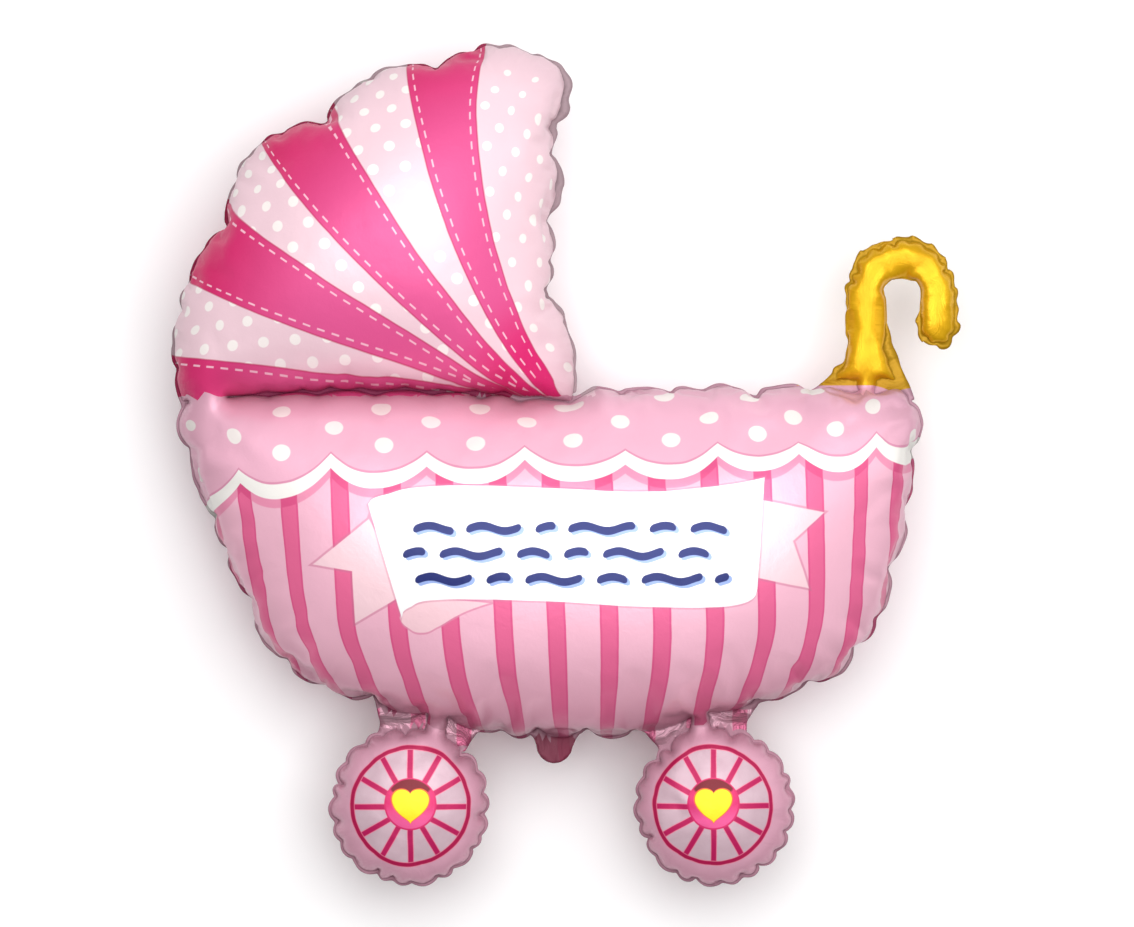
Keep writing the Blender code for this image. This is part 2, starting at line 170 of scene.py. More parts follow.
BEND_CREASE_LENGTH = 14.0  # in millimetres
BEND_CREASE_DEPTH = 0.0022
CREASE_ROUNDS = 60  # of averaging, which finds the large movement that creases ride on
SWING_ROUNDS = 90  # of averaging, which finds the weld's long swings
SWING_REACH = 0.05
SEAM_SHARE = 0.10  # how much of the creases stays along the weld between hood and hull
SEAM_REACH = 0.07
FIN_RIPPLE = 0.0016
WEB_CRINKLE = 0.0011

draw = np.random.default_rng(11)


def arc_through(start, end, rise, step=ARC_STEP):
    """Points on an arc from start up to, but without, end, that bows to the left by rise."""
    start = np.array(start)
    end = np.array(end)
    chord = end - start
    length = float(np.hypot(*chord))
    count = max(2, math.ceil(length / step))
    if abs(rise) < 1e-5:
        return [tuple(start + chord * i / count) for i in range(count)]
    radius = (length * length / 4 + rise * rise) / (2 * rise)
    half_angle = math.asin(min(1.0, length / (2 * abs(radius))))
    along = chord / length
    left = np.array((-along[1], along[0]))
    centre = (start + end) / 2 - left * (radius - rise)
    points = []
    for i in range(count):
        angle = half_angle * (2 * i / count - 1)
        across = abs(radius) * math.sin(angle) * along
        points.append(tuple(centre + across + radius * math.cos(angle) * left))
    return points


def smooth_through(knots, per_span=6):
    """A Catmull-Rom curve through the knots, both ends included."""
    knots = [np.array(k) for k in knots]
    padded = [2 * knots[0] - knots[1], *knots, 2 * knots[-1] - knots[-2]]
    points = []
    for before, a, b, after in zip(padded, padded[1:], padded[2:], padded[3:]):
        linear = b - before
        square = 2 * before - 5 * a + 4 * b - after
        cubic = 3 * a - 3 * b + after - before
        for i in range(per_span):
            t = i / per_span
            points.append(tuple(0.5 * (2 * a + linear * t + square * t**2 + cubic * t**3)))
    points.append(tuple(knots[-1]))
    return points


def circle(centre, radius, step=ARC_STEP):
    count = math.ceil(2 * math.pi * radius / step)
    angles = [2 * math.pi * i / count for i in range(count)]
    return [(centre[0] + radius * math.cos(a), centre[1] + radius * math.sin(a)) for a in angles]


def box(low_x, high_x, low_y, high_y):
    return [(low_x, low_y), (high_x, low_y), (high_x, high_y), (low_x, high_y)]


def wheel_centres():
    y = -HULL_DEPTH - WHEEL_DROP
    return [(WHEEL_MIDDLE + side * WHEEL_SPACING / 2, y) for side in (-1, 1)]


def seam_points():
    return arc_through((HULL_REAR, 0.0), (0.0, 0.0), SEAM_RISE) + [(0.0, 0.0)]


def hood_outline():
    notches = []
    for angle, share, _ in HOOD_NOTCHES:
        turn = math.radians(angle)
        notches.append((HOOD_RADIUS * share * math.cos(turn), HOOD_RADIUS * share * math.sin(turn)))
    notches[0] = (notches[0][0], WELD_STRIP / 2)
    notches.append((0.0, WELD_STRIP / 2))
    outline = []
    for start, end, (_, _, rise) in zip(notches, notches[1:], HOOD_NOTCHES):
        outline += arc_through(start, end, rise * HOOD_RADIUS)
    seam = [(x, y + WELD_STRIP / 2) for x, y in reversed(seam_points())]
    return outline + [p for p in seam if p[0] > notches[0][0]]


def hull_side(sign):
    half = HULL_LENGTH / 2
    knots = []
    for width, depth in HULL_PROFILE:
        lean = HULL_LEAN * (1 - math.cos(math.pi * min(1.0, depth / LEAN_SHARE))) / 2
        knots.append((HULL_REAR + half + lean + sign * half * width, -HULL_DEPTH * depth))
    return smooth_through(knots)


def hull_outline():
    front = HULL_REAR + HULL_LENGTH
    seam = [(x, y - WELD_STRIP / 2) for x, y in seam_points()]
    top = [p for p in seam if p[0] > HULL_REAR + RIM_CORNER / 4]
    top.append((RIM_CORNER, RIM_RISE))
    for degrees in range(0, 76, 15):
        turn = math.radians(degrees)
        x = front - RIM_CORNER * (1 - math.sin(turn))
        top.append((x, RIM_RISE - RIM_CORNER * (1 - math.cos(turn))))
    handle_side = [p for p in hull_side(1) if p[1] < top[-1][1] - ARC_STEP / 2]
    return top + handle_side[:-1] + list(reversed(hull_side(-1)))


def handle_path():
    foot = RIM_RISE + FOOT_RISE
    path = []
    for share in (0.0, 0.1, 0.2, 0.3, 0.45, 0.75):
        half = COLUMN_HALF_WIDTH + FOOT_FLARE * max(0.0, 1 - share / 0.45) ** 2
        path.append(((HANDLE_X, foot + share * (HANDLE_HEIGHT - foot)), half))
    for degrees in range(0, 181, 12):
        turn = math.radians(degrees)
        x = HANDLE_X + HANDLE_BEND * (1 - math.cos(turn))
        y = HANDLE_HEIGHT + HANDLE_BEND * math.sin(turn)
        half = COLUMN_HALF_WIDTH + (GRIP_HALF_WIDTH - COLUMN_HALF_WIDTH) * degrees / 180
        path.append(((x, y), half))
    end = HANDLE_HEIGHT - HANDLE_DROOP + GRIP_HALF_WIDTH
    for share in (0.5, 1.0):
        y = HANDLE_HEIGHT + share * (end - HANDLE_HEIGHT)
        path.append(((HANDLE_X + 2 * HANDLE_BEND, y), GRIP_HALF_WIDTH))
    return path


def handle_outline():
    path = handle_path()
    points = [np.array(p) for p, _ in path]
    left, right = [], []
    for i, (_, half) in enumerate(path):
        way = points[min(i + 1, len(path) - 1)] - points[max(i - 1, 0)]
        way = way / np.hypot(*way)
        side = np.array((-way[1], way[0])) * half
        left.append(tuple(points[i] + side))
        right.append(tuple(points[i] - side))
    grip_end = arc_through(left[-1], right[-1], GRIP_HALF_WIDTH, GRIP_HALF_WIDTH / 3)[1:]
    return left + grip_end + list(reversed(right))


def neck_boxes():
    rear = HULL_REAR + RIM_CORNER / 4
    half = HANDLE_NECK_WIDTH / 2
    foot = RIM_RISE + FOOT_RISE
    boxes = [
        box(rear, rear + PASSAGE_WIDTH, -2 * WELD_STRIP, 2 * WELD_STRIP),
        box(HANDLE_X - half, HANDLE_X + half, RIM_RISE - half, foot + half),
    ]
    for (x, y), shift in zip(wheel_centres(), NECK_SHIFTS):
        left = x + shift - NECK_WIDTH / 2
        boxes.append(box(left, left + NECK_WIDTH, y + WHEEL_RADIUS * 0.8, -HULL_DEPTH * 0.88))
    return boxes


def chamber_shapes():
    shapes = [("hood", hood_outline()), ("hull", hull_outline()), ("handle", handle_outline())]
    shapes += [("wheel", circle(centre, WHEEL_RADIUS)) for centre in wheel_centres()]
    return shapes + [("neck", outline) for outline in neck_boxes()]


def wheel_webs():
    webs = []
    top = -HULL_DEPTH * 0.90
    for (x, y), edges, (bow_left, bow_right) in zip(wheel_centres(), WEB_EDGES, WEB_BOWS):
        waist = y + WHEEL_RADIUS * 0.75
        hull_left, hull_right, low_left, low_right = (x + edge for edge in edges)
        left = arc_through((hull_left, top), (low_left, waist), bow_left)
        right = arc_through((low_right, waist), (hull_right, top), bow_right)
        webs.append(left + [(low_left, waist)] + right + [(hull_right, top)])
    return webs


def foot_web():
    (rear_reach, rear_height, rear_bow), (front_reach, front_height, front_bow) = FOOT_WEBS
    beside_column = COLUMN_HALF_WIDTH + FIN_WIDTH / 2
    rear_low = (HANDLE_X - rear_reach, RIM_RISE)
    rear_high = (HANDLE_X - beside_column, RIM_RISE + rear_height)
    front_high = (HANDLE_X + beside_column, RIM_RISE + front_height)
    front_low = (HANDLE_X + front_reach, RIM_RISE - RIM_CORNER / 3)
    outline = arc_through(rear_low, rear_high, -rear_bow) + [rear_high]
    outline += arc_through(front_high, front_low, -front_bow) + [front_low]
    return outline + [(HANDLE_X, RIM_RISE - RIM_CORNER / 2)]


def tail_outline():
    half = TAIL_WIDTH / 2
    fillet = half * 0.7
    keel = -HULL_DEPTH
    shoulder = keel - fillet
    end = keel - TAIL_LENGTH + half
    left, right = TAIL_X - half, TAIL_X + half
    outline = arc_through((left - fillet, keel), (left, shoulder), fillet * 0.25)
    outline += [(left, shoulder)]
    outline += arc_through((left, end), (right, end), -half, half / 4)
    outline += [(right, end)]
    outline += arc_through((right, shoulder), (right + fillet, keel), fillet * 0.25)
    return outline + [(right + fillet, keel), (right + fillet, keel * 0.95), (left - fillet, keel * 0.95)]


def counterclockwise(outline):
    xs, ys = np.array(outline).T
    area = xs @ np.roll(ys, -1) - ys @ np.roll(xs, -1)
    return list(outline) if area > 0 else list(reversed(outline))


def triangulate(shapes, loose=(), gap=SMALLEST_GAP):
    """Triangles of overlapping shapes: (points, triangles, the shapes that each triangle lies in)."""
    points, faces = [], []
    for shape in shapes:
        faces.append(list(range(len(points), len(points) + len(shape))))
        points += [tuple(p) for p in counterclockwise(shape)]
    points += [tuple(p) for p in loose]
    found = delaunay_2d_cdt([Vector(p) for p in points], [], faces, 1, gap)
    return np.array([tuple(p) for p in found[0]]), found[2], found[5]


def free_edges(triangles):
    edges = {(a, b) for tri in triangles for a, b in zip(tri, tri[1:] + tri[:1])}
    return sorted(edge for edge in edges if (edge[1], edge[0]) not in edges)


def outer_loop(points, triangles):
    follows = dict(free_edges(triangles))
    start = min(follows)
    loop = [start]
    while follows[loop[-1]] != start:
        loop.append(follows[loop[-1]])
    return points[loop]


def nearest_on(points, outline):
    """For each point: its distance to a closed outline, the nearest place on it and that side's number."""
    points = np.array(points)
    start = np.array(outline)
    way = np.roll(start, -1, axis=0) - start
    length = (way * way).sum(-1)
    gaps, places, sides = [], [], []
    for part in np.array_split(points, max(1, len(points) // 1500)):
        to_point = part[:, None, :] - start[None]
        share = np.clip((to_point * way).sum(-1) / length, 0, 1)
        gap = to_point - share[..., None] * way
        gap = (gap * gap).sum(-1)
        side = gap.argmin(axis=1)
        row = np.arange(len(part))
        gaps.append(np.sqrt(gap[row, side]))
        places.append(start[side] + share[row, side][:, None] * way[side])
        sides.append(side)
    return np.concatenate(gaps), np.concatenate(places), np.concatenate(sides)


def distance_to_outline(points, outline):
    return nearest_on(points, outline)[0]


def is_inside(points, outline):
    start = np.array(outline)
    end = np.roll(start, -1, axis=0)
    x, y = np.array(points).T
    x, y = x[:, None], y[:, None]
    spans = (start[:, 1] > y) != (end[:, 1] > y)
    rise = np.where(end[:, 1] == start[:, 1], 1.0, end[:, 1] - start[:, 1])
    crossing = start[:, 0] + (y - start[:, 1]) * (end[:, 0] - start[:, 0]) / rise
    return (spans & (x < crossing)).sum(axis=1) % 2 == 1


def split_into_runs(loop, kinds):
    """The loop cut at its corners: (points with both ends, kind) of each run."""
    after = np.roll(loop, -1, axis=0) - loop
    before = np.roll(after, 1, axis=0)
    cross = before[:, 0] * after[:, 1] - before[:, 1] * after[:, 0]
    turn = np.degrees(np.arctan2(cross, (before * after).sum(axis=1)))
    count = len(loop)
    corners = [
        i
        for i in range(count)
        if abs(turn[i]) > CORNER_TURN or turn[i] < -INWARD_TURN or kinds[i] != kinds[i - 1]
    ]
    runs = []
    for start, end in zip(corners, corners[1:] + [corners[0] + count]):
        points = [loop[i % count] for i in range(start, end + 1)]
        runs.append((np.array(points), kinds[start]))
    return runs


def along_line(points, travelled, at):
    """The places at some distances along a line."""
    return np.stack([np.interp(at, travelled, points[:, axis]) for axis in (0, 1)], axis=1)


def bend_at(points, travelled, at, span):
    """How fast the line turns left there, in radians a metre."""
    places = [along_line(points, travelled, at + shift) for shift in (-span, 0.0, span)]
    before, after = places[1] - places[0], places[2] - places[1]
    cross = before[:, 0] * after[:, 1] - before[:, 1] * after[:, 0]
    return np.arctan2(cross, (before * after).sum(axis=1)) / span


def pucker(run, kind):
    """The run with its uneven puckers in fine steps, without its last point."""
    spacing, depth, fine_step = PUCKERS[kind]
    lengths = np.hypot(*np.diff(run, axis=0).T)
    travelled = np.concatenate(([0.0], np.cumsum(lengths)))
    total = travelled[-1]
    count = max(1, round(total / spacing))
    cuts = np.linspace(0.0, total, count + 1)
    cuts[1:-1] += draw.uniform(-0.2, 0.2, count - 1) * total / count
    depths = depth * draw.uniform(0.6, 1.45, count + 1)
    depths[[0, -1]] = 0.0
    at, inset = [], []
    for start, end, first, last in zip(cuts, cuts[1:], depths, depths[1:]):
        steps = max(2, round((end - start) / fine_step))
        phase = np.arange(steps) / steps
        at.append(start + phase * (end - start))
        inset.append(np.where(phase < 0.5, first, last) * (1 - np.sin(math.pi * phase)))
    at, inset = np.concatenate(at), np.concatenate(inset)
    if kind == "handle":
        inset *= np.clip(bend_at(run, travelled, at, 0.012) / CALM_BEND, 0.10, 1.0)
    points = along_line(run, travelled, at)
    segment = np.clip(np.searchsorted(travelled, at, side="right") - 1, 0, len(lengths) - 1)
    way = np.diff(run, axis=0)[segment] / lengths[segment][:, None]
    outward = np.stack([way[:, 1], -way[:, 0]], axis=1)
    return points - outward * inset[:, None]


def weld_loop():
    """The weld line round all chambers, counterclockwise, and each point's kind of chamber."""
    shapes = []
    for kind, outline in chamber_shapes():
        if kind != "neck":
            outline = even_steps(np.array(counterclockwise(outline)), ARC_STEP)
            outline = [tuple(p) for p in beside(outline, BLOWN_OUT, 0.95)]
        shapes.append((kind, outline))
    points, triangles, _ = triangulate([outline for _, outline in shapes], gap=1e-5)
    loop = outer_loop(points, triangles)
    middles = (loop + np.roll(loop, -1, axis=0)) / 2
    nearest = np.argmin([distance_to_outline(middles, outline) for _, outline in shapes], axis=0)
    kinds = [shapes[i][0] for i in nearest]
    parts = [(pucker(run, kind), kind) for run, kind in split_into_runs(loop, kinds)]
    points = np.concatenate([part for part, _ in parts])
    return points, [kind for part, kind in parts for _ in part]


def outward_of(loop):
    way = np.roll(loop, -1, axis=0) - np.roll(loop, 1, axis=0)
    way /= np.hypot(*way.T)[:, None]
    return np.stack([way[:, 1], -way[:, 0]], axis=1)


def round_average(values, times):
    """Values along a closed loop, averaged with their neighbours."""
    for _ in range(times):
        values = (np.roll(values, 1, axis=0) + 2 * values + np.roll(values, -1, axis=0)) / 4
    return values


class Crowd:
    """Points that keep apart from each other."""

    CELL = 0.003

    def __init__(self):
        self.points = []
        self.cells = {}

    def add(self, point, gap):
        reach = math.ceil(gap / self.CELL)
        column, row = math.floor(point[0] / self.CELL), math.floor(point[1] / self.CELL)
        if gap:
            for i in range(column - reach, column + reach + 1):
                for j in range(row - reach, row + reach + 1):
                    for x, y in self.cells.get((i, j), ()):
                        if math.hypot(point[0] - x, point[1] - y) < gap:
                            return
        self.cells.setdefault((column, row), []).append(tuple(point))
        self.points.append(tuple(point))


def hexagonal_grid(low, high, step):
    rows = math.ceil((high[1] - low[1]) / (step * math.sqrt(0.75)))
    columns = math.ceil((high[0] - low[0]) / step)
    return np.array([
        (low[0] + (column + row % 2 / 2) * step, low[1] + row * step * math.sqrt(0.75))
        for row in range(rows + 1)
        for column in range(columns + 1)
    ])


def chamber_points(loop, steepness):
    """Points inside the weld: rings along it, close together where the sheet is steep, then a grid."""
    crowd = Crowd()
    outward = outward_of(loop)
    last = 0.0
    for number, arc in enumerate(RING_ARCS):
        depth = (arc / steepness) ** 2
        points = loop - outward * depth[:, None]
        keep = (distance_to_outline(points, loop) > 0.85 * depth) & is_inside(points, loop)
        gap = np.minimum(0.55 * (depth - last), 0.0065)
        last = depth
        step = 1 if number < 4 else 2
        for i in range(number % 2 if step > 1 else 0, len(points), step):
            if keep[i]:
                crowd.add(points[i], gap[i])
    grid = hexagonal_grid(loop.min(axis=0), loop.max(axis=0), GRID_STEP)
    grid = grid[is_inside(grid, loop)]
    for point in grid[distance_to_outline(grid, loop) > 0.004]:
        crowd.add(point, 0.68 * GRID_STEP)
    return crowd.points


def beside(loop, gap, least_share):
    """The line beside a closed loop; the gap is one number or one for each point."""
    gap = np.broadcast_to(gap, len(loop))
    points = loop + gap[:, None] * outward_of(loop)
    return points[distance_to_outline(points, loop) > least_share * np.abs(gap)]


def fin_gaps(loop, kinds):
    """How far the fin stands out round the loop: toothed on the handle's outer bend, hardly at its sides."""
    gaps = np.full(len(loop), FIN_WIDTH - BLOWN_OUT)
    smooth = round_average(loop, 40)
    steps = np.hypot(*(np.roll(smooth, -1, axis=0) - smooth).T)
    travelled = np.concatenate(([0.0], np.cumsum(steps)))
    closed = np.concatenate([smooth, smooth[:1]])
    bend = np.clip(bend_at(closed, travelled, travelled[:-1], 0.012) / CALM_BEND, 0.0, 1.0)
    on_handle = np.array(kinds) == "handle"
    teeth = np.abs((travelled[:-1] / PUCKERS["handle"][0]) % 1.0 - 0.5) * 2
    gaps[on_handle] *= (0.35 + bend * (0.5 + 1.7 * teeth))[on_handle]
    on_front_edge = (np.array(kinds) == "hood") & (loop[:, 0] > -0.05)
    for middle, half in BACK_PETALS:
        share = np.clip(1 - ((loop[:, 1] - middle) / half) ** 2, 0, 1)
        lobes = 0.75 + 0.25 * np.sin(loop[:, 1] * (2 * math.pi / 0.024))
        gaps += np.where(on_front_edge, share * lobes * PETAL_WIDTH, 0.0)
    return gaps


def web_points(webs, loop, fin):
    points = []
    for web in webs:
        grid = hexagonal_grid(np.min(web, axis=0), np.max(web, axis=0), WEB_STEP)
        clear = np.minimum(distance_to_outline(grid, web), distance_to_outline(grid, loop))
        clear = np.minimum(clear, distance_to_outline(grid, fin))
        keep = is_inside(grid, web) & ~is_inside(grid, loop) & (clear > WEB_STEP * 0.45)
        points += [tuple(p) for p in grid[keep]]
    return points


def chamber_at(x, y):
    if y > RIM_RISE + FOOT_RISE / 2 and x > HANDLE_X - FOOT_HALF_WIDTH:
        return "handle"
    if any(math.hypot(x - wheel_x, y - wheel_y) < WHEEL_RADIUS for wheel_x, wheel_y in wheel_centres()):
        return "wheel"
    return "hood" if y > SEAM_RISE / 2 and x < RIM_CORNER else "hull"


def solve_evenly(first, second, weights, diagonal, force, free):
    """Conjugate gradients for a symmetric matrix given by its edges, with all but the free points at 0."""
    count = len(diagonal)

    def times(x):
        pulled = np.bincount(first, weights * x[second], count)
        pulled += np.bincount(second, weights * x[first], count)
        return np.where(free, diagonal * x - pulled, 0.0)

    x = np.zeros(count)
    rest = np.where(free, force, 0.0)
    eased = rest / diagonal
    way = eased.copy()
    size = rest @ eased
    start = size
    for _ in range(3000):
        along = times(way)
        step = size / (way @ along)
        x += step * way
        rest -= step * along
        eased = rest / diagonal
        new_size = rest @ eased
        if new_size < start * 1e-14:
            break
        way = eased + way * new_size / size
        size = new_size
    return x


def stiffness_edges(points, triangles):
    """The cotangent weight of each triangle's three sides, as (first, second, weight), and double areas."""
    a, b, c = (points[triangles[:, i]] for i in range(3))
    double_area = (b[:, 0] - a[:, 0]) * (c[:, 1] - a[:, 1]) - (b[:, 1] - a[:, 1]) * (c[:, 0] - a[:, 0])
    opposite = [c - b, a - c, b - a]
    first, second, weights = [], [], []
    for i, j in ((0, 1), (1, 2), (2, 0)):
        first.append(triangles[:, i])
        second.append(triangles[:, j])
        weights.append(-(opposite[i] * opposite[j]).sum(axis=1) / (2 * double_area))
    return np.concatenate(first), np.concatenate(second), np.concatenate(weights), double_area


def inflate(points, triangles, free):
    """Half of the thickness at every point, as in the CAD source."""
    bulges = {"hood": HOOD_BULGE, "hull": HULL_BULGE, "wheel": WHEEL_BULGE, "handle": HANDLE_BULGE}
    kinds = np.array([chamber_at(*middle) for middle in points[triangles].mean(axis=1)])
    at_point = np.array([chamber_at(*point) for point in points])
    first, second, weights, double_area = stiffness_edges(points, triangles)
    count = len(points)
    diagonal = np.bincount(first, weights, count) + np.bincount(second, weights, count)
    diagonal = np.where(diagonal > 0, diagonal, 1.0)

    def deflection(loads):
        force = np.bincount(triangles.ravel(), np.repeat(loads * double_area / 6, 3), count)
        return solve_evenly(first, second, weights, diagonal, force, free)

    even = deflection(np.ones(len(triangles)))
    loads = np.ones(len(triangles))
    for kind, bulge in bulges.items():
        loads[kinds == kind] = bulge**2 / even[(at_point == kind) & free].max()
    return np.sqrt(np.maximum(deflection(loads), 0.0))


def arc_length(depth, reach):
    """Length of the curve height = 2 * sqrt(reach * depth) from its foot up to the given depth."""
    depth = np.maximum(depth, 0.0)
    return np.sqrt(depth * (depth + reach)) + reach * np.arcsinh(np.sqrt(depth / reach))


def sides_of(triangles):
    return np.concatenate([triangles[:, [0, 1]], triangles[:, [1, 2]], triangles[:, [2, 0]]])


def unrolled(points, inside, triangles, hood):
    """Where each point of the plan lay on the flat sheet before it was blown up."""
    reach = steepness[weld_side] ** 2 / 4
    outward = weld_place - points
    outward[~inside] *= -1
    close = weld_gap < 1e-6
    outward[close] = outward_of(loop)[weld_side[close]]
    outward /= np.hypot(*outward.T)[:, None]
    extra = arc_length(reach, reach) - arc_length(weld_gap, reach) - (reach - weld_gap)
    extra = np.where(inside, np.where(weld_gap < reach, extra, 0.0), arc_length(reach, reach) - reach)
    shift = outward * extra[:, None]
    if hood:
        # The hood's print runs straight down to its hinge.
        share = np.clip((points[:, 1] - SEAM_RISE) / STRAIGHT_REACH, 0, 1)
        shift *= (share * share * (3 - 2 * share))[:, None]
    else:
        along_seam = (np.abs(points[:, 1]) < 3 * WELD_STRIP) & (points[:, 0] < RIM_CORNER)
        shift[:, 1] = np.where(along_seam, np.abs(shift[:, 1]), shift[:, 1])
    return points + mesh_average(shift, sides_of(triangles), 8)


def loop_subdivided(values, triangles, creases):
    """One step of Loop subdivision. Creases are edges that stay sharp; free edges are creases too."""
    count = len(values)
    corners = triangles[:, [0, 1, 1, 2, 2, 0]].reshape(-1, 2)
    opposite = triangles[:, [2, 0, 1]].reshape(-1)
    keys = np.sort(corners, axis=1) @ np.array((count, 1))
    unique, edge_of, uses = np.unique(keys, return_inverse=True, return_counts=True)
    ends = np.stack([unique // count, unique % count], axis=1)
    sharp = uses != 2
    if len(creases):
        sharp |= np.isin(unique, np.sort(creases, axis=1) @ np.array((count, 1)))
    across = np.zeros((len(unique), values.shape[1]))
    np.add.at(across, edge_of, values[opposite])
    both = values[ends[:, 0]] + values[ends[:, 1]]
    middles = np.where(sharp[:, None], both / 2, both * 3 / 8 + across / 8)

    degree = np.bincount(ends.ravel(), minlength=count)
    around = np.zeros_like(values)
    np.add.at(around, ends[:, 0], values[ends[:, 1]])
    np.add.at(around, ends[:, 1], values[ends[:, 0]])
    share = np.where(degree == 3, 3 / 16, 3 / (8 * np.maximum(degree, 1)))[:, None]
    moved = values * (1 - degree[:, None] * share) + around * share
    sharp_ends = ends[sharp]
    sharp_degree = np.bincount(sharp_ends.ravel(), minlength=count)
    along = np.zeros_like(values)
    np.add.at(along, sharp_ends[:, 0], values[sharp_ends[:, 1]])
    np.add.at(along, sharp_ends[:, 1], values[sharp_ends[:, 0]])
    moved = np.where((sharp_degree == 2)[:, None], values * 3 / 4 + along / 8, moved)
    moved = np.where(((sharp_degree == 1) | (sharp_degree > 2))[:, None], values, moved)

    ab, bc, ca = (edge_of.reshape(-1, 3)[:, i] + count for i in range(3))
    a, b, c = triangles.T
    fine = np.stack([a, ab, ca, ab, b, bc, ca, bc, c, ab, bc, ca], axis=1).reshape(-1, 3)
    return np.concatenate([moved, middles]), fine


def even_steps(outline, step):
    """A closed outline with its corners kept and its long sides cut into even steps."""
    points = []
    for start, end in zip(outline, np.roll(outline, -1, axis=0)):
        cuts = max(1, round(math.hypot(*(end - start)) / step))
        points += [tuple(start + (end - start) * i / cuts) for i in range(cuts)]
    return np.array(points)


def mesh_average(values, pairs, times):
    """Values on a mesh's points, averaged with their neighbours again and again."""
    count = len(values)
    degree = np.maximum(np.bincount(pairs.ravel(), minlength=count), 1)[:, None]
    for _ in range(times):
        total = np.empty_like(values)
        for axis in range(values.shape[1]):
            total[:, axis] = np.bincount(pairs[:, 0], values[pairs[:, 1], axis], count)
            total[:, axis] += np.bincount(pairs[:, 1], values[pairs[:, 0], axis], count)
        values = 0.4 * values + 0.6 * total / degree
    return values


def placed(name, data):
    """A new object with this data, linked into the scene."""
    thing = bpy.data.objects.new(name, data)
    bpy.context.scene.collection.objects.link(thing)
    return thing


def blow_up(start, faces, slack):
    """The closed skin after a short cloth simulation under gas pressure, with slack foil near the weld."""
    mesh = bpy.data.meshes.new("cloth_sheet")
    mesh.from_pydata((start + draw.normal(0, CLOTH_UNEVENNESS, start.shape)).tolist(), [], faces.tolist())
    sheet = placed("cloth_sheet", mesh)
    group = sheet.vertex_groups.new(name="taut")
    for i, share in enumerate(slack):
        group.add([i], float(1 - share), "REPLACE")
    modifier = sheet.modifiers.new("cloth", "CLOTH")
    cloth = modifier.settings
    cloth.quality = 8
    cloth.mass = 0.05
    cloth.tension_stiffness = cloth.compression_stiffness = 60.0
    cloth.shear_stiffness = 30.0
    cloth.bending_stiffness = 0.02
    cloth.tension_damping = cloth.compression_damping = cloth.shear_damping = 5.0
    cloth.air_damping = 1.0
    cloth.use_pressure = True
    cloth.uniform_pressure_force = 20.0
    cloth.vertex_group_shrink = "taut"
    cloth.shrink_min = -SLACK
    cloth.shrink_max = 0.0
    cloth.effector_weights.gravity = 0.0
    modifier.collision_settings.use_collision = False
    modifier.point_cache.frame_start = 1
    modifier.point_cache.frame_end = CLOTH_FRAMES
    scene = bpy.context.scene
    for frame_number in range(1, CLOTH_FRAMES + 1):
        scene.frame_set(frame_number)
    evaluated = sheet.evaluated_get(bpy.context.evaluated_depsgraph_get())
    result = np.empty(len(start) * 3, np.float32)
    evaluated.data.vertices.foreach_get("co", result)
    scene.frame_set(1)
    bpy.data.objects.remove(sheet)
    bpy.data.meshes.remove(mesh)
    return result.reshape(-1, 3).astype(float)


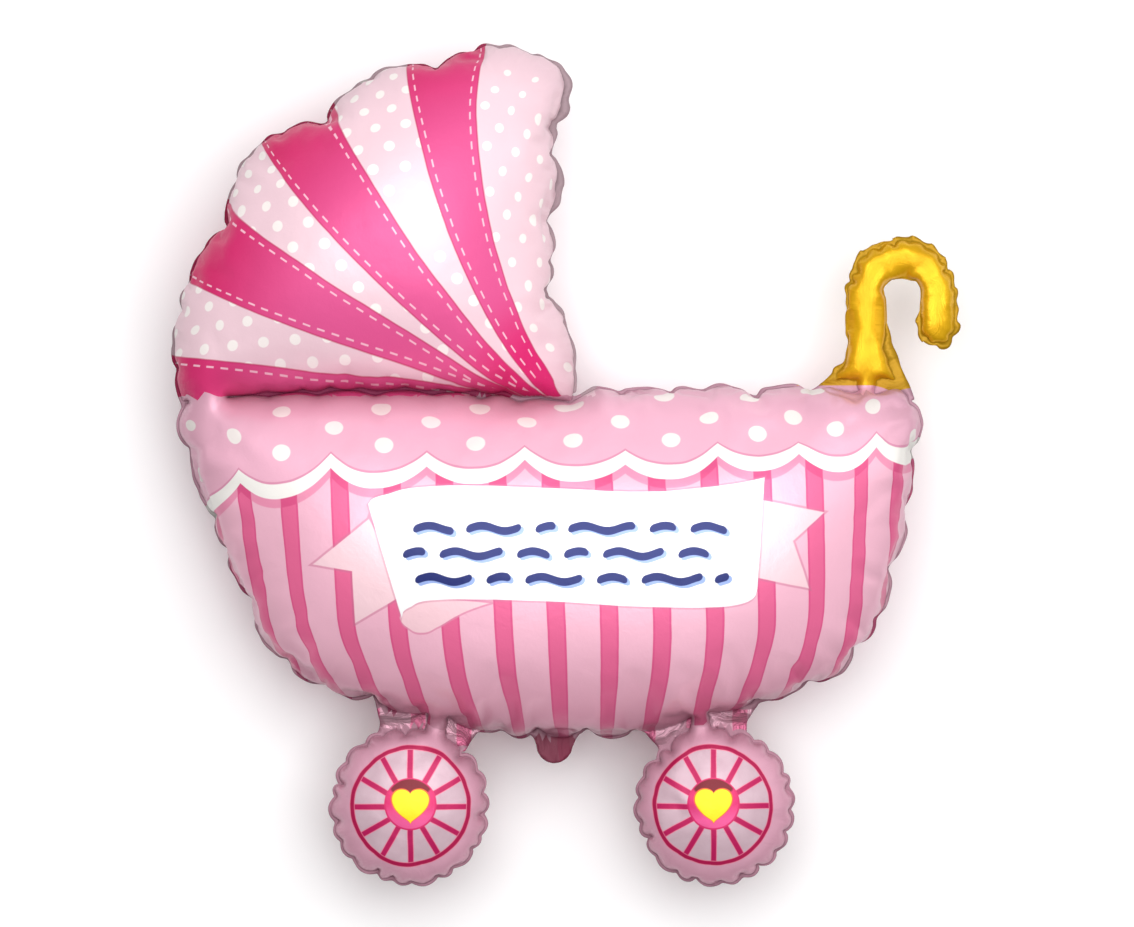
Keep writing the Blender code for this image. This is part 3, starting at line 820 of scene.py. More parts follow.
def crumpled():
    """How far creases move each point of the front and of the back sheet."""
    faces = sheet_triangles[blown]
    used = np.flatnonzero(in_blown)
    inner = np.flatnonzero(free)
    at_front = np.full(len(plan), -1)
    at_front[used] = np.arange(len(used))
    at_back = at_front.copy()
    at_back[inner] = len(used) + np.arange(len(inner))
    start = np.concatenate([
        np.column_stack([plan[used], height[used]]), np.column_stack([plan[inner], -height[inner]])
    ])
    skin_faces = np.concatenate([at_front[faces], at_back[faces][:, ::-1]])
    arc = np.hypot(weld_gap, height)
    reach = SLACK_REACH * (steepness[weld_side] / STEEPNESS["hull"])
    slack = np.exp(-((arc / reach) ** 2))
    slack = np.concatenate([slack[used], slack[inner]])
    move = np.zeros_like(start)
    move = blow_up(start, skin_faces, slack) - start
    pairs = np.unique(np.sort(sides_of(skin_faces), axis=1), axis=0)
    move -= mesh_average(move, pairs, CREASE_ROUNDS)
    # The creases stay; the weld's long swings go, so that the outline keeps to the plan.
    on_loop = nearest_point(loop, plan)
    swing = round_average(move[at_front[on_loop]], SWING_ROUNDS)
    swing[:, 2] *= 0.5
    far = np.concatenate([arc[used], arc[inner]])
    side = np.concatenate([weld_side[used], weld_side[inner]])
    move -= swing[side] * np.exp(-far / SWING_REACH)[:, None]
    # The foil lies smoother along the weld between hood and hull.
    where = np.concatenate([plan[used], plan[inner]])
    beside_seam = np.where(where[:, 0] < RIM_CORNER, np.abs(where[:, 1]), np.abs(where[:, 1]) + where[:, 0])
    move *= (SEAM_SHARE + (1 - SEAM_SHARE) * np.clip(beside_seam / SEAM_REACH, 0, 1))[:, None]
    size = np.linalg.norm(move, axis=1)[:, None]
    most = (LARGEST_CREASE * (steepness[side] / STEEPNESS["hull"]) ** 1.6)[:, None]
    move *= np.tanh(size / most) * most / np.maximum(size, 1e-9)

    front_move, back_move = np.zeros((len(plan), 3)), np.zeros((len(plan), 3))
    front_move[used] = move[at_front[used]]
    back_move[used] = move[at_back[used]]
    hook = np.array((HANDLE_X + HANDLE_BEND, HANDLE_HEIGHT)) * 1000
    edge = (HANDLE_BEND - COLUMN_HALF_WIDTH) * 1000 + 1
    bend_creases = []
    for degrees in BEND_CREASES:
        way = np.array((math.cos(math.radians(degrees)), math.sin(math.radians(degrees))))
        bend_creases.append((hook + way * edge, hook + way * (edge + BEND_CREASE_LENGTH), BEND_CREASE_DEPTH))
    for start, end, depth in (*DEEP_CREASES, *bend_creases):
        start, end = np.array(start) / 1000, np.array(end) / 1000
        way = end - start
        share = np.clip((plan - start) @ way / (way @ way), 0, 1)
        gap = np.hypot(*(plan - start - share[:, None] * way).T)
        dent = depth * (1 - share) ** 0.7 * np.exp(-((gap / (0.0030 + 0.003 * share)) ** 2)) * free
        front_move[:, 2] -= dent
        back_move[:, 2] += dent
    # The fin goes with the weld and waves a little more, and the webs are crinkled.
    outside = ~in_blown
    weld_move = round_average(move[at_front[on_loop]], 1)
    fade = np.exp(-np.maximum(weld_gap[outside] - FIN_WIDTH, 0.0) / 0.015)
    wave = weld_move[weld_side[outside]] * fade[:, None]
    wave[:, 2] *= 1.0 + 0.6 * np.minimum(weld_gap[outside] / FIN_WIDTH, 1.0)
    ripple = round_average(draw.normal(0, 1, len(loop)), 2)
    ripple = ripple[weld_side[outside]] * np.minimum(weld_gap[outside] / FIN_WIDTH, 1.0)
    wave[:, 2] += FIN_RIPPLE * ripple * fade
    x, y = plan[outside].T
    crinkle = np.zeros(len(x))
    for _ in range(7):
        way, turn = draw.uniform(0, 2 * math.pi, 2)
        pitch = draw.uniform(0.012, 0.030)
        crinkle += np.abs(np.sin((x * math.cos(way) + y * math.sin(way)) * math.pi / pitch + turn)) - 0.64
    wave[:, 2] += crinkle * WEB_CRINKLE * (1 - np.exp(-((weld_gap[outside] / 0.012) ** 2)))
    front_move[outside] = back_move[outside] = wave
    return front_move, back_move


def nearest_point(points, crowd):
    """The number of the crowd's point nearest to each point."""
    return np.concatenate([
        ((part[:, None, :] - crowd[None]) ** 2).sum(-1).argmin(axis=1) for part in np.array_split(points, 8)
    ])


def border_of(triangles):
    return np.array(free_edges([tuple(t) for t in triangles.tolist()]))


# The flat plan, blown up.
loop, loop_kinds = weld_loop()
steepness = round_average(np.array([STEEPNESS[kind] for kind in loop_kinds]), 6)
fin = beside(loop, fin_gaps(loop, loop_kinds), 0.8)
webs = [*wheel_webs(), foot_web(), tail_outline()]
edge_points, edge_triangles, _ = triangulate([loop, fin, *webs], gap=1e-5)
border = even_steps(outer_loop(edge_points, edge_triangles), LOOP_STEP)
loose = chamber_points(loop, steepness) + web_points(webs, loop, border)
plan, plan_triangles, plan_inside = triangulate([loop, border], loose)
plan_triangles = [tri for tri, shapes in zip(plan_triangles, plan_inside) if shapes]
blown = np.array([0 in shapes for shapes in plan_inside if shapes])
sheet_triangles = np.array(plan_triangles)
in_blown = np.zeros(len(plan), bool)
in_blown[sheet_triangles[blown].ravel()] = True
weld_edges = border_of(sheet_triangles[blown])
on_weld = np.zeros(len(plan), bool)
on_weld[weld_edges.ravel()] = True
free = in_blown & ~on_weld
height = inflate(plan, sheet_triangles[blown], free)
weld_gap, weld_place, weld_side = nearest_on(plan, loop)
print("points a side", len(plan), "triangles a side", len(sheet_triangles), "bulge", height.max())

front_move, back_move = crumpled()
floor_depth = WELD_HEIGHT - HALF_FOIL
front = np.column_stack([plan, height]) + front_move
back = np.column_stack([plan, -height]) + back_move
sunk = np.maximum(-back[:, 2] - (floor_depth - PRESS_SOFTNESS), 0.0)
back[:, 2] = np.where(
    sunk > 0, -floor_depth + PRESS_SOFTNESS * np.exp(-sunk / PRESS_SOFTNESS), back[:, 2]
)
front[:, 2] += HALF_FOIL
back[:, 2] -= HALF_FOIL

middles = plan[sheet_triangles].mean(axis=1)
in_web = [is_inside(middles, web) & ~blown for web in webs]
wheel_gap = np.min([np.hypot(*(middles - centre).T) for centre in wheel_centres()], axis=0)
slots = ["hull", "hood", "wheel", "handle", "web", "tail"]
kinds = np.array([chamber_at(*middle) for middle in middles])
kinds[(kinds == "hull") & (wheel_gap < WHEEL_RADIUS + 1.4 * FIN_WIDTH)] = "wheel"
under_hull = (in_web[0] | in_web[1]) & (middles[:, 1] < -HULL_DEPTH * 0.93)
kinds[under_hull & (wheel_gap > WHEEL_RADIUS + FIN_WIDTH)] = "web"
kinds[(middles[:, 1] > RIM_RISE + 0.001) & (middles[:, 0] > HANDLE_X - 0.07)] = "handle"
kinds[in_web[3] & (middles[:, 1] < -HULL_DEPTH - 0.004)] = "tail"
slot_of = np.array([slots.index(kind) for kind in kinds])
flat_sheets = []
for number, kind in enumerate(slots):
    own = sheet_triangles[slot_of == number]
    flat_sheets.append(unrolled(plan, free, own, kind == "hood"))

# Both sheets and the rim between them as one closed mesh: columns x, y, z, the way from the weld, the way
# along the weld, and the place on the flat sheet as each print has it.
count = len(plan)
arc = np.where(in_blown, np.hypot(weld_gap, height), 0.0)
travelled = np.cumsum(np.hypot(*(loop - np.roll(loop, 1, axis=0)).T))
extra = np.column_stack([arc, travelled[weld_side], *flat_sheets])
values = np.concatenate([np.column_stack([front, extra]), np.column_stack([back, extra])])
rim_edges = border_of(sheet_triangles)
a, b = rim_edges.T
rim = np.concatenate([np.stack([b, a, a + count], axis=1), np.stack([b, a + count, b + count], axis=1)])
triangles = np.concatenate([sheet_triangles, sheet_triangles[:, ::-1] + count, rim])
creases = np.concatenate([weld_edges, weld_edges + count, rim_edges, rim_edges + count])
edge_slot = {}
for tri, slot in zip(sheet_triangles.tolist(), slot_of):
    for edge in zip(tri, tri[1:] + tri[:1]):
        edge_slot[edge] = slot
rim_slot = np.array([edge_slot[tuple(edge)] for edge in rim_edges.tolist()])
face_slot = np.concatenate([slot_of, slot_of + len(slots), rim_slot, rim_slot])

values, triangles = loop_subdivided(values, triangles, creases)
face_slot = np.repeat(face_slot, 4)
values[:, 2] = np.maximum(values[:, 2], -WELD_HEIGHT)
print("triangles", len(triangles))

mesh = bpy.data.meshes.new("foil_skin")
place = values[:, :3] + np.array((*PLAN_PLACE, WELD_HEIGHT))
mesh.from_pydata(place.tolist(), [], triangles.tolist())
corner_vertices = triangles.ravel()
corner_columns = 5 + 2 * np.repeat(face_slot % len(slots), 3)
places = np.stack([values[corner_vertices, corner_columns + axis] for axis in (0, 1)], axis=1)
for name, coordinates in (("print", places), ("weld", values[corner_vertices, 3:5])):
    uv = mesh.uv_layers.new(name=name)
    uv.data.foreach_set("uv", coordinates.astype(np.float32).ravel())
mesh.polygons.foreach_set("material_index", face_slot.astype(np.int32))
mesh.polygons.foreach_set("use_smooth", np.ones(len(mesh.polygons), bool))
mesh.update()
skin = placed("foil_skin", mesh)


def seen(x, y):
    """The plan place, in millimetres, of what the camera sees there: high foil looks spread out."""
    gap = np.hypot(plan[:, 0] - x / 1000, plan[:, 1] - y / 1000)
    shrink = 1 - front[gap.argmin(), 2] / CAMERA_HEIGHT
    middle_x, middle_y = PICTURE_MIDDLE
    return middle_x + (x - middle_x) * shrink, middle_y + (y - middle_y) * shrink


def on_sheet(x, y, kind="hull"):
    """Where a place of the plan, in millimetres, lies on the flat sheet, in millimetres."""
    number = slots.index(kind)
    own = np.unique(sheet_triangles[(slot_of == number) & blown])
    gap = np.hypot(plan[own, 0] - x / 1000, plan[own, 1] - y / 1000)
    order = np.argsort(gap)[:6]
    weight = 1 / (gap[order] + 1e-4) ** 2
    shift = ((flat_sheets[number] - plan)[own][order] * weight[:, None]).sum(axis=0) / weight.sum()
    return x + 1000 * shift[0], y + 1000 * shift[1]


def print_place(px, py, kind="hull"):
    """The place on the flat sheet, in millimetres, of a point of the reference picture."""
    return on_sheet(*seen(px - 570, 402 - py), kind)


# Materials. The prints are written as formulas over the flat sheet, in millimetres from the hinge point.
TREE = None


class Number:
    """A number that a shader node gives, so that a print can be written as a formula."""

    def __init__(self, socket):
        self.socket = socket

    def __add__(self, other):
        return calc("ADD", self, other)

    __radd__ = __add__

    def __sub__(self, other):
        return calc("SUBTRACT", self, other)

    def __rsub__(self, other):
        return calc("SUBTRACT", other, self)

    def __mul__(self, other):
        return calc("MULTIPLY", self, other)

    __rmul__ = __mul__

    def __truediv__(self, other):
        return calc("DIVIDE", self, other)

    def __neg__(self):
        return calc("MULTIPLY", self, -1.0)

    def __and__(self, other):
        return calc("MINIMUM", self, other)

    def __or__(self, other):
        return calc("MAXIMUM", self, other)


def plug(socket, value):
    if isinstance(value, Number):
        TREE.links.new(value.socket, socket)
    elif isinstance(value, bpy.types.NodeSocket):
        TREE.links.new(value, socket)
    else:
        socket.default_value = value


def calc(operation, *values):
    node = TREE.nodes.new("ShaderNodeMath")
    node.operation = operation
    for socket, value in zip(node.inputs, values):
        plug(socket, value)
    return Number(node.outputs[0])


def joined(x, y, z=0.0):
    node = TREE.nodes.new("ShaderNodeCombineXYZ")
    for socket, value in zip(node.inputs, (x, y, z)):
        plug(socket, value)
    return node.outputs[0]


def length_of(x, y):
    return calc("SQRT", x * x + y * y)


def step_up(value, at=0.0, soft=0.5):
    """0 below and 1 above a value, with a soft edge."""
    node = TREE.nodes.new("ShaderNodeMapRange")
    node.interpolation_type = "SMOOTHSTEP"
    plug(node.inputs[0], value)
    node.inputs[1].default_value = at - soft
    node.inputs[2].default_value = at + soft
    return Number(node.outputs[0])


def step_down(value, at=0.0, soft=0.5):
    """1 below and 0 above a value, with a soft edge."""
    return 1.0 - step_up(value, at, soft)


def ramp(value, low, high, out_low=0.0, out_high=1.0):
    """A smooth change from one result to another between two values."""
    node = TREE.nodes.new("ShaderNodeMapRange")
    node.interpolation_type = "SMOOTHSTEP"
    plug(node.inputs[0], value)
    for socket, number in zip(node.inputs[1:5], (low, high, out_low, out_high)):
        socket.default_value = number
    return Number(node.outputs[0])


def follow(value, knots):
    """A smooth curve through knots (value, result)."""
    lows = [min(k[i] for k in knots) for i in (0, 1)]
    highs = [max(k[i] for k in knots) for i in (0, 1)]
    spans = [max(high - low, 1e-6) for low, high in zip(lows, highs)]
    node = TREE.nodes.new("ShaderNodeFloatCurve")
    curve = node.mapping.curves[0]
    knots = sorted(knots)
    for i, (x, y) in enumerate(knots):
        at = ((x - lows[0]) / spans[0], (y - lows[1]) / spans[1])
        if i < 2:
            curve.points[i].location = at
            point = curve.points[i]
        else:
            point = curve.points.new(*at)
        point.handle_type = "AUTO"
    node.mapping.update()
    plug(node.inputs["Value"], (value - lows[0]) / spans[0])
    return Number(node.outputs[0]) * spans[1] + lows[1]


def noise(vector, scale, detail=2.0, roughness=0.5, distortion=0.0):
    node = TREE.nodes.new("ShaderNodeTexNoise")
    plug(node.inputs["Vector"], vector)
    node.inputs["Scale"].default_value = scale
    node.inputs["Detail"].default_value = detail
    node.inputs["Roughness"].default_value = roughness
    node.inputs["Distortion"].default_value = distortion
    return Number(node.outputs[0])


def linear(colour):
    """An sRGB colour of 0 to 255 as the linear colour that the shader takes."""
    shares = [c / 255 for c in colour]
    return (*(s / 12.92 if s <= 0.04045 else ((s + 0.055) / 1.055) ** 2.4 for s in shares), 1.0)


def painted(below, above, mask):
    """One colour over another where the mask is 1."""
    node = TREE.nodes.new("ShaderNodeMix")
    node.data_type = "RGBA"
    plug(node.inputs[0], mask)
    for socket, colour in zip((node.inputs[6], node.inputs[7]), (below, above)):
        plug(socket, linear(colour) if isinstance(colour, tuple) else colour)
    return node.outputs[2]


def multiplied(colour, share):
    node = TREE.nodes.new("ShaderNodeVectorMath")
    node.operation = "SCALE"
    plug(node.inputs[0], colour)
    plug(node.inputs["Scale"], share)
    return node.outputs[0]


def line_side(spot, start, end):
    """Distance to the left of the line from start to end."""
    (x0, y0), (x1, y1) = start, end
    length = math.hypot(x1 - x0, y1 - y0)
    normal = (-(y1 - y0) / length, (x1 - x0) / length)
    node = TREE.nodes.new("ShaderNodeVectorMath")
    node.operation = "DOT_PRODUCT"
    plug(node.inputs[0], spot)
    node.inputs[1].default_value = (*normal, -(normal[0] * x0 + normal[1] * y0))
    return Number(node.outputs[1])


def within(spot, corners):
    """Distance inside a convex shape whose corners are listed clockwise or counterclockwise."""
    corners = counterclockwise(corners)
    result = None
    for start, end in zip(corners, corners[1:] + corners[:1]):
        side = line_side(spot, start, end)
        result = side if result is None else result & side
    return result


def nearest_of(spot, centres):
    """Distance to the nearest of some places."""
    result = None
    for centre in centres:
        node = TREE.nodes.new("ShaderNodeVectorMath")
        node.operation = "DISTANCE"
        plug(node.inputs[0], spot)
        node.inputs[1].default_value = (*centre, 1.0)
        gap = Number(node.outputs[1])
        result = gap if result is None else result & gap
    return result


def repeat_gap(share, pitch):
    """Distance to the nearest whole number of pitches."""
    return calc("ABSOLUTE", calc("FRACT", share + 0.5) - 0.5) * pitch


def uv_place(name):
    node = TREE.nodes.new("ShaderNodeUVMap")
    node.uv_map = name
    parts = TREE.nodes.new("ShaderNodeSeparateXYZ")
    TREE.links.new(node.outputs[0], parts.inputs[0])
    return Number(parts.outputs[0]), Number(parts.outputs[1])


def sheet_place():
    """x, y on the flat sheet in millimetres, and the two as a vector (x, y, 1)."""
    x, y = (number * 1000.0 for number in uv_place("print"))
    return x, y, joined(x, y, 1.0)


def body_place():
    """The place on the balloon as a vector, and its plan x and y in millimetres."""
    spot = TREE.nodes.new("ShaderNodeTexCoord").outputs["Object"]
    parts = TREE.nodes.new("ShaderNodeSeparateXYZ")
    TREE.links.new(spot, parts.inputs[0])
    x, y = ((Number(parts.outputs[axis]) - PLAN_PLACE[axis]) * 1000.0 for axis in (0, 1))
    return spot, x, y


def plain(*points):
    """The places on the hull's flat sheet of some points of the reference picture."""
    return [print_place(*point) for point in points]


def new_material(name):
    global TREE
    material = bpy.data.materials.new(name)
    material.use_nodes = True
    TREE = material.node_tree
    for node in list(TREE.nodes):
        if node.type != "OUTPUT_MATERIAL":
            TREE.nodes.remove(node)
    return material


def show(shader):
    output = next(n for n in TREE.nodes if n.type == "OUTPUT_MATERIAL")
    TREE.links.new(shader.outputs[0], output.inputs[0])


# How far from the weld, along the foil in metres, the painted shade reaches.
WELD_SHADE_REACH = 0.085
BAND_COLOUR = (243, 184, 206)
KEEL_SHADE_COLOUR = (214, 104, 144)
TAIL_SHADE_COLOUR = (214, 60, 108)


def finish_foil(
    colour, metal, weld_shade, rough=0.38, crinkle=0.25, coat=0.22, gather=0.5, reach=WELD_SHADE_REACH, fin_shade=0.38
):
    """The shader of printed foil: painted shade towards the weld and on the fin, gathers at the weld, fine
    crinkles, a rolled grain and an uneven gloss.
    """
    spot = TREE.nodes.new("ShaderNodeTexCoord").outputs["Object"]
    arc, along = uv_place("weld")
    # Painted shade: the print is made darker towards the weld, where the foil turns away and is gathered,
    # and darker still on the fin.
    fin_share = step_down(arc, 0.0007, 0.0005)
    shade = ramp(arc, 0.0, reach, weld_shade, 1.0) * (1.0 - fin_share * fin_shade)
    colour = multiplied(colour, shade)
    shader = TREE.nodes.new("ShaderNodeBsdfPrincipled")
    plug(shader.inputs["Base Color"], colour)
    plug(shader.inputs["Metallic"], metal)
    uneven = noise(spot, 22.0, 3.0, 0.55)
    fine = noise(spot, 420.0, 2.0, 0.5)
    plug(shader.inputs["Roughness"], rough + (uneven - 0.5) * 0.16 + (fine - 0.5) * 0.06 + fin_share * 0.14)
    shader.inputs["Specular IOR Level"].default_value = 0.32
    shader.inputs["Coat Weight"].default_value = coat
    shader.inputs["Coat Roughness"].default_value = 0.24
    relief = noise(spot, 55.0, 4.0, 0.6, 0.8) * 0.6 + noise(spot, 160.0, 3.0, 0.6) * 0.3 + fine * 0.1
    folds = noise(joined(along, arc * 0.14), 130.0, 3.0, 0.6, 0.5)
    relief = relief + folds * ramp(arc, 0.004, 0.05, 1.0, 0.0) * (gather * 4.0)
    bump = TREE.nodes.new("ShaderNodeBump")
    bump.inputs["Strength"].default_value = crinkle
    bump.inputs["Distance"].default_value = 0.002
    plug(bump.inputs["Height"], relief)
    TREE.links.new(bump.outputs[0], shader.inputs["Normal"])
    show(shader)


STRIPE_PITCH = 52.0
STRIPE_WIDTH = 17.5
STRIPE_MIDDLE = -14.0
CUSPS = (
    (162, 500), (237, 467), (331, 451), (427, 450), (525, 446), (625, 448.5), (718, 441), (798, 440),
    (878, 431.5), (960, 425),
)
BOTTOMS = (
    (203, 531), (278, 499), (380, 488), (482, 484), (577, 482), (676, 479), (762, 471.5), (841, 471.5),
    (925, 462),
)
BAND_DOTS = (
    (282, 412), (382, 410), (480, 410), (570, 409), (664, 401), (748, 399.5), (813, 396), (191, 425),
    (233, 435), (334, 427), (431, 422), (527, 422), (620, 422), (709, 418), (793, 416), (874, 409),
    (281, 452), (384, 445), (476, 443), (573, 441), (671, 438.5), (758, 433), (836, 431), (911, 435),
    (200, 475),
)


def hull_print(with_banner):
    x, y, spot = sheet_place()
    # Stripes down the hull, which draw together towards the keel.
    together = ramp(y, -400.0, -210.0, 0.86, 1.0)
    across = (x - STRIPE_MIDDLE - (y + 203.0) * -0.04) / together
    off = repeat_gap(across / STRIPE_PITCH, STRIPE_PITCH)
    stripe = step_down(off, STRIPE_WIDTH / 2, 0.6)
    colour = painted((246, 188, 208), (234, 106, 152), stripe)
    edge = step_up(off, STRIPE_WIDTH / 2 - 1.6, 0.5) * step_down(off, STRIPE_WIDTH / 2 + 0.4, 0.4)
    colour = painted(colour, (226, 90, 142), edge)

    # The scalloped valance with its white trim and its shadow.
    cusps, bottoms = plain(*CUSPS), plain(*BOTTOMS)
    scallop = calc("FRACT", follow(x, [(cx, i) for i, (cx, _) in enumerate(cusps)]))
    arch = 1.0 - calc("POWER", calc("ABSOLUTE", 2 * scallop - 1.0), 2.3)
    cusp_line = follow(x, cusps)
    bottom_line = follow(x, bottoms)
    lower = cusp_line - 17.0 + (bottom_line - cusp_line + 17.0) * arch
    above = y - lower
    shadow = step_up(above, -9.0, 0.8)
    colour = painted(colour, painted((238, 148, 180), (222, 84, 136), stripe), shadow)
    trim = step_up(above, 0.0, 0.6)
    colour = painted(colour, (252, 248, 243), trim)
    band = step_up(above, 16.5, 0.6)
    colour = painted(colour, BAND_COLOUR, band)
    line = step_up(above, 14.8, 0.5) * step_down(above, 17.2, 0.5)
    colour = painted(colour, (226, 150, 180), line)
    dots = nearest_of(spot, plain(*BAND_DOTS))
    colour = painted(colour, (252, 243, 239), step_down(dots, 9.3, 0.6))

    if with_banner:
        colour = banner_print(colour, x, y, spot)
    # Painted shade: towards the keel the hull is tinted deeper pink and darkened.
    colour = painted(colour, KEEL_SHADE_COLOUR, ramp(y, -420.0, -235.0, 0.5, 0.0))
    return multiplied(colour, ramp(y, -420.0, -235.0, 0.66, 1.0))


BANNER_TOP = ((369, 503), (385, 495), (448, 486), (560, 489), (645, 492), (702, 488), (764, 478))
BANNER_BOTTOM = ((402, 618), (411, 607), (437, 600), (540, 601), (652, 607), (723, 607), (757, 590))
CURL_TOP = ((400, 618), (411, 607), (437, 600), (466, 601), (494, 604))
CURL_BOTTOM = ((400, 618), (408, 628), (421, 633), (438, 627), (455, 617), (475, 608), (494, 602))


def banner_print(colour, x, y, spot):
    # The ribbon's swallow tails.
    for upper_tail, under_tail in RIBBON_TAILS:
        inside = within(spot, plain(*upper_tail)) | within(spot, plain(*under_tail))
        shade = step_up(inside, -2.2, 0.6)
        colour = painted(colour, (205, 116, 150), shade * 0.55)
        colour = painted(colour, (249, 211, 219), step_up(inside, 0.0, 0.6))
    # The banner itself, a waving panel with a curled lower corner.
    top = follow(x, plain(*BANNER_TOP))
    bottom = follow(x, plain(*BANNER_BOTTOM))
    left = line_side(spot, *plain((402, 618), (369, 506)))
    right = line_side(spot, *plain((764, 478), (757, 592)))
    roll_top = follow(x, plain(*CURL_TOP))
    roll_low = follow(x, plain(*CURL_BOTTOM))
    curl = (roll_top - y) & (y - roll_low) & (x + 169.0) & (-77.0 - x)
    colour = painted(colour, (226, 140, 172), step_up(curl, -2.0, 0.5) * 0.8)
    colour = painted(colour, (250, 207, 216), step_up(curl, 0.0, 0.5))
    panel = (top - y) & (y - bottom) & -left & -right
    colour = painted(colour, (205, 116, 150), step_up(panel, -1.8, 0.6) * 0.45)
    colour = painted(colour, (255, 255, 255), step_up(panel, 0.0, 0.6))
    # Rows of rounded strokes.
    for (dx, dy), ink_colour in (((3.0, -2.5), (146, 168, 222)), ((0.0, 0.0), (16, 32, 104))):
        strokes = None
        for row_y, cells in STROKE_ROWS:
            for start, end in cells:
                wave = calc("SINE", (x - dx - start) * (2 * math.pi / 46.0)) * 2.6
                along = calc("MAXIMUM", calc("ABSOLUTE", x - dx - (start + end) / 2) - (end - start) / 2, 0.0)
                gap = length_of(along, y - dy - row_y - wave)
                strokes = gap if strokes is None else strokes & gap
        colour = painted(colour, ink_colour, step_down(strokes, 4.1, 0.5))
    return colour


RIBBON_TAILS = (
    (((369, 519), (312, 565), (352, 571), (398, 574)), ((369, 519), (352, 571), (355, 624), (398, 598))),
    (((762, 500), (825, 512), (793, 541), (758, 570)), ((762, 500), (793, 541), (810, 589), (758, 578))),
)
STROKE_ROWS = (
    (-125.0, ((-150, -118), (-98, -52), (-30, -18), (2, 60), (82, 100), (122, 150))),
    (-150.0, ((-160, -146), (-124, -70), (-48, -24), (-2, 14), (36, 88), (110, 132))),
    (-175.0, ((-148, -100), (-78, -62), (-40, 8), (30, 52), (74, 126), (146, 152))),
)

HOOD_EDGES = {
    "3 right": (
        (25, 129.7), (60, 123.3), (100, 120.2), (150, 116.8), (210, 113.1), (270, 109.7), (330, 106.3),
        (410, 101.5),
    ),
    "3 left": (
        (40, 153.9), (60, 145.0), (80, 140.0), (100, 136.5), (150, 130.4), (210, 125.5), (270, 121.6),
        (330, 118.3), (410, 114.0),
    ),
    "2 right": (
        (40, 158.9), (60, 151.6), (80, 147.4), (100, 144.7), (150, 139.5), (210, 136.0), (270, 133.1),
        (330, 131.0), (410, 128.2),
    ),
    "2 left": (
        (60, 169.0), (80, 164.0), (100, 159.9), (150, 153.8), (210, 149.1), (270, 146.0), (330, 143.5),
        (430, 139.0),
    ),
    "1 upper": (
        (60, 169.5), (80, 165.2), (100, 162.7), (150, 158.3), (210, 155.4), (270, 153.7), (330, 152.2),
        (430, 149.6),
    ),
    "1 lower": (
        (80, 174.0), (125, 169.4), (150, 168.0), (210, 166.2), (270, 165.3), (330, 164.2), (430, 161.4),
    ),
    "0 upper": (
        (80, 174.5), (150, 171.5), (210, 173.0), (330, 173.5), (430, 173.2),
    ),
}
RIGHT_DOTS = (
    (509, 70), (537.5, 78), (496, 86.5), (525.5, 92.5), (486, 103), (513.5, 109), (537, 117.5),
    (501, 127), (527.5, 133.5), (488, 145.5), (516.5, 151.5), (539, 159.5), (504.5, 171), (529, 177),
    (547.5, 184.5), (491, 191.5), (519, 196.5), (539, 202.5), (508, 214.5), (532, 220), (497, 237),
    (523, 238.5), (541.5, 238.5), (512.5, 262), (535, 262), (526.5, 285), (545.5, 281), (518, 306.5),
    (539, 305), (534, 327.5), (551, 348), (567.5, 367),
)
LEFT_DOTS = ((-194.3, 228.1), (32.3, 2.9), (16.7, -21.6))
DASH_PITCH = 15.0
WEB_PITCH = 46.0
WHEEL_PRINTS = ((409.4, 805.8), (714.8, 806.5))


def lattice_gap(x, y, origin, first, second):
    """Distance to the nearest crossing of a slanting grid."""
    across = first[0] * second[1] - first[1] * second[0]
    dx, dy = x - origin[0], y - origin[1]
    u = (dx * second[1] - dy * second[0]) / across
    v = (dy * first[0] - dx * first[1]) / across
    u = calc("FRACT", u + 0.5) - 0.5
    v = calc("FRACT", v + 0.5) - 0.5
    return length_of(u * first[0] + v * second[0], u * first[1] + v * second[1])


def hood_print():
    x, y, spot = sheet_place()
    reach = length_of(x, y)
    angle = calc("ARCTAN2", -y, -x) * (180 / math.pi) + 180.0
    off = {}
    for name, knots in HOOD_EDGES.items():
        turned = [on_sheet(*seen(r * math.cos(math.radians(t)), r * math.sin(math.radians(t))), "hood")
                  for r, t in knots]
        polar = [(math.hypot(*p), math.degrees(math.atan2(p[1], p[0])) % 360) for p in turned]
        off[name] = (angle - follow(reach, polar)) * reach * (math.pi / 180)
    left_dots = lattice_gap(x, y, *LEFT_DOTS)
    right_dots = nearest_of(spot, [print_place(*place, "hood") for place in RIGHT_DOTS])
    dots = painted((240, 206, 216), (250, 241, 238), step_down(left_dots, 5.6, 0.6))
    right = painted((240, 206, 216), (250, 241, 238), step_down(right_dots, 4.9, 0.6))
    colour = painted(dots, right, step_down(off["3 right"], 0.0, 0.5))
    # Painted highlight: the stripes' pink is lighter through the middle of their length than at the outer
    # ends and by the hinge.
    deep = painted((212, 18, 98), (224, 86, 146), ramp(reach, 430.0, 250.0))
    deep = painted(deep, (218, 36, 112), ramp(reach, 130.0, 60.0))
    stripes = (off["3 right"] & -off["3 left"]) | (off["2 right"] & -off["2 left"])
    stripes = stripes | (off["1 upper"] & -off["1 lower"]) | off["0 upper"]
    colour = painted(colour, deep, step_up(stripes, 0.0, 0.5))
    line = step_down(calc("ABSOLUTE", stripes), 0.8, 0.5)
    colour = painted(colour, (196, 28, 96), line * 0.7)
    dash = step_up(repeat_gap(reach / DASH_PITCH - 0.5, DASH_PITCH), 3.6, 0.4)
    thread = step_down(calc("ABSOLUTE", stripes - 6.5), 0.9, 0.4)
    colour = painted(colour, (246, 190, 208), dash * thread * step_up(reach, 40.0, 8.0))
    return colour


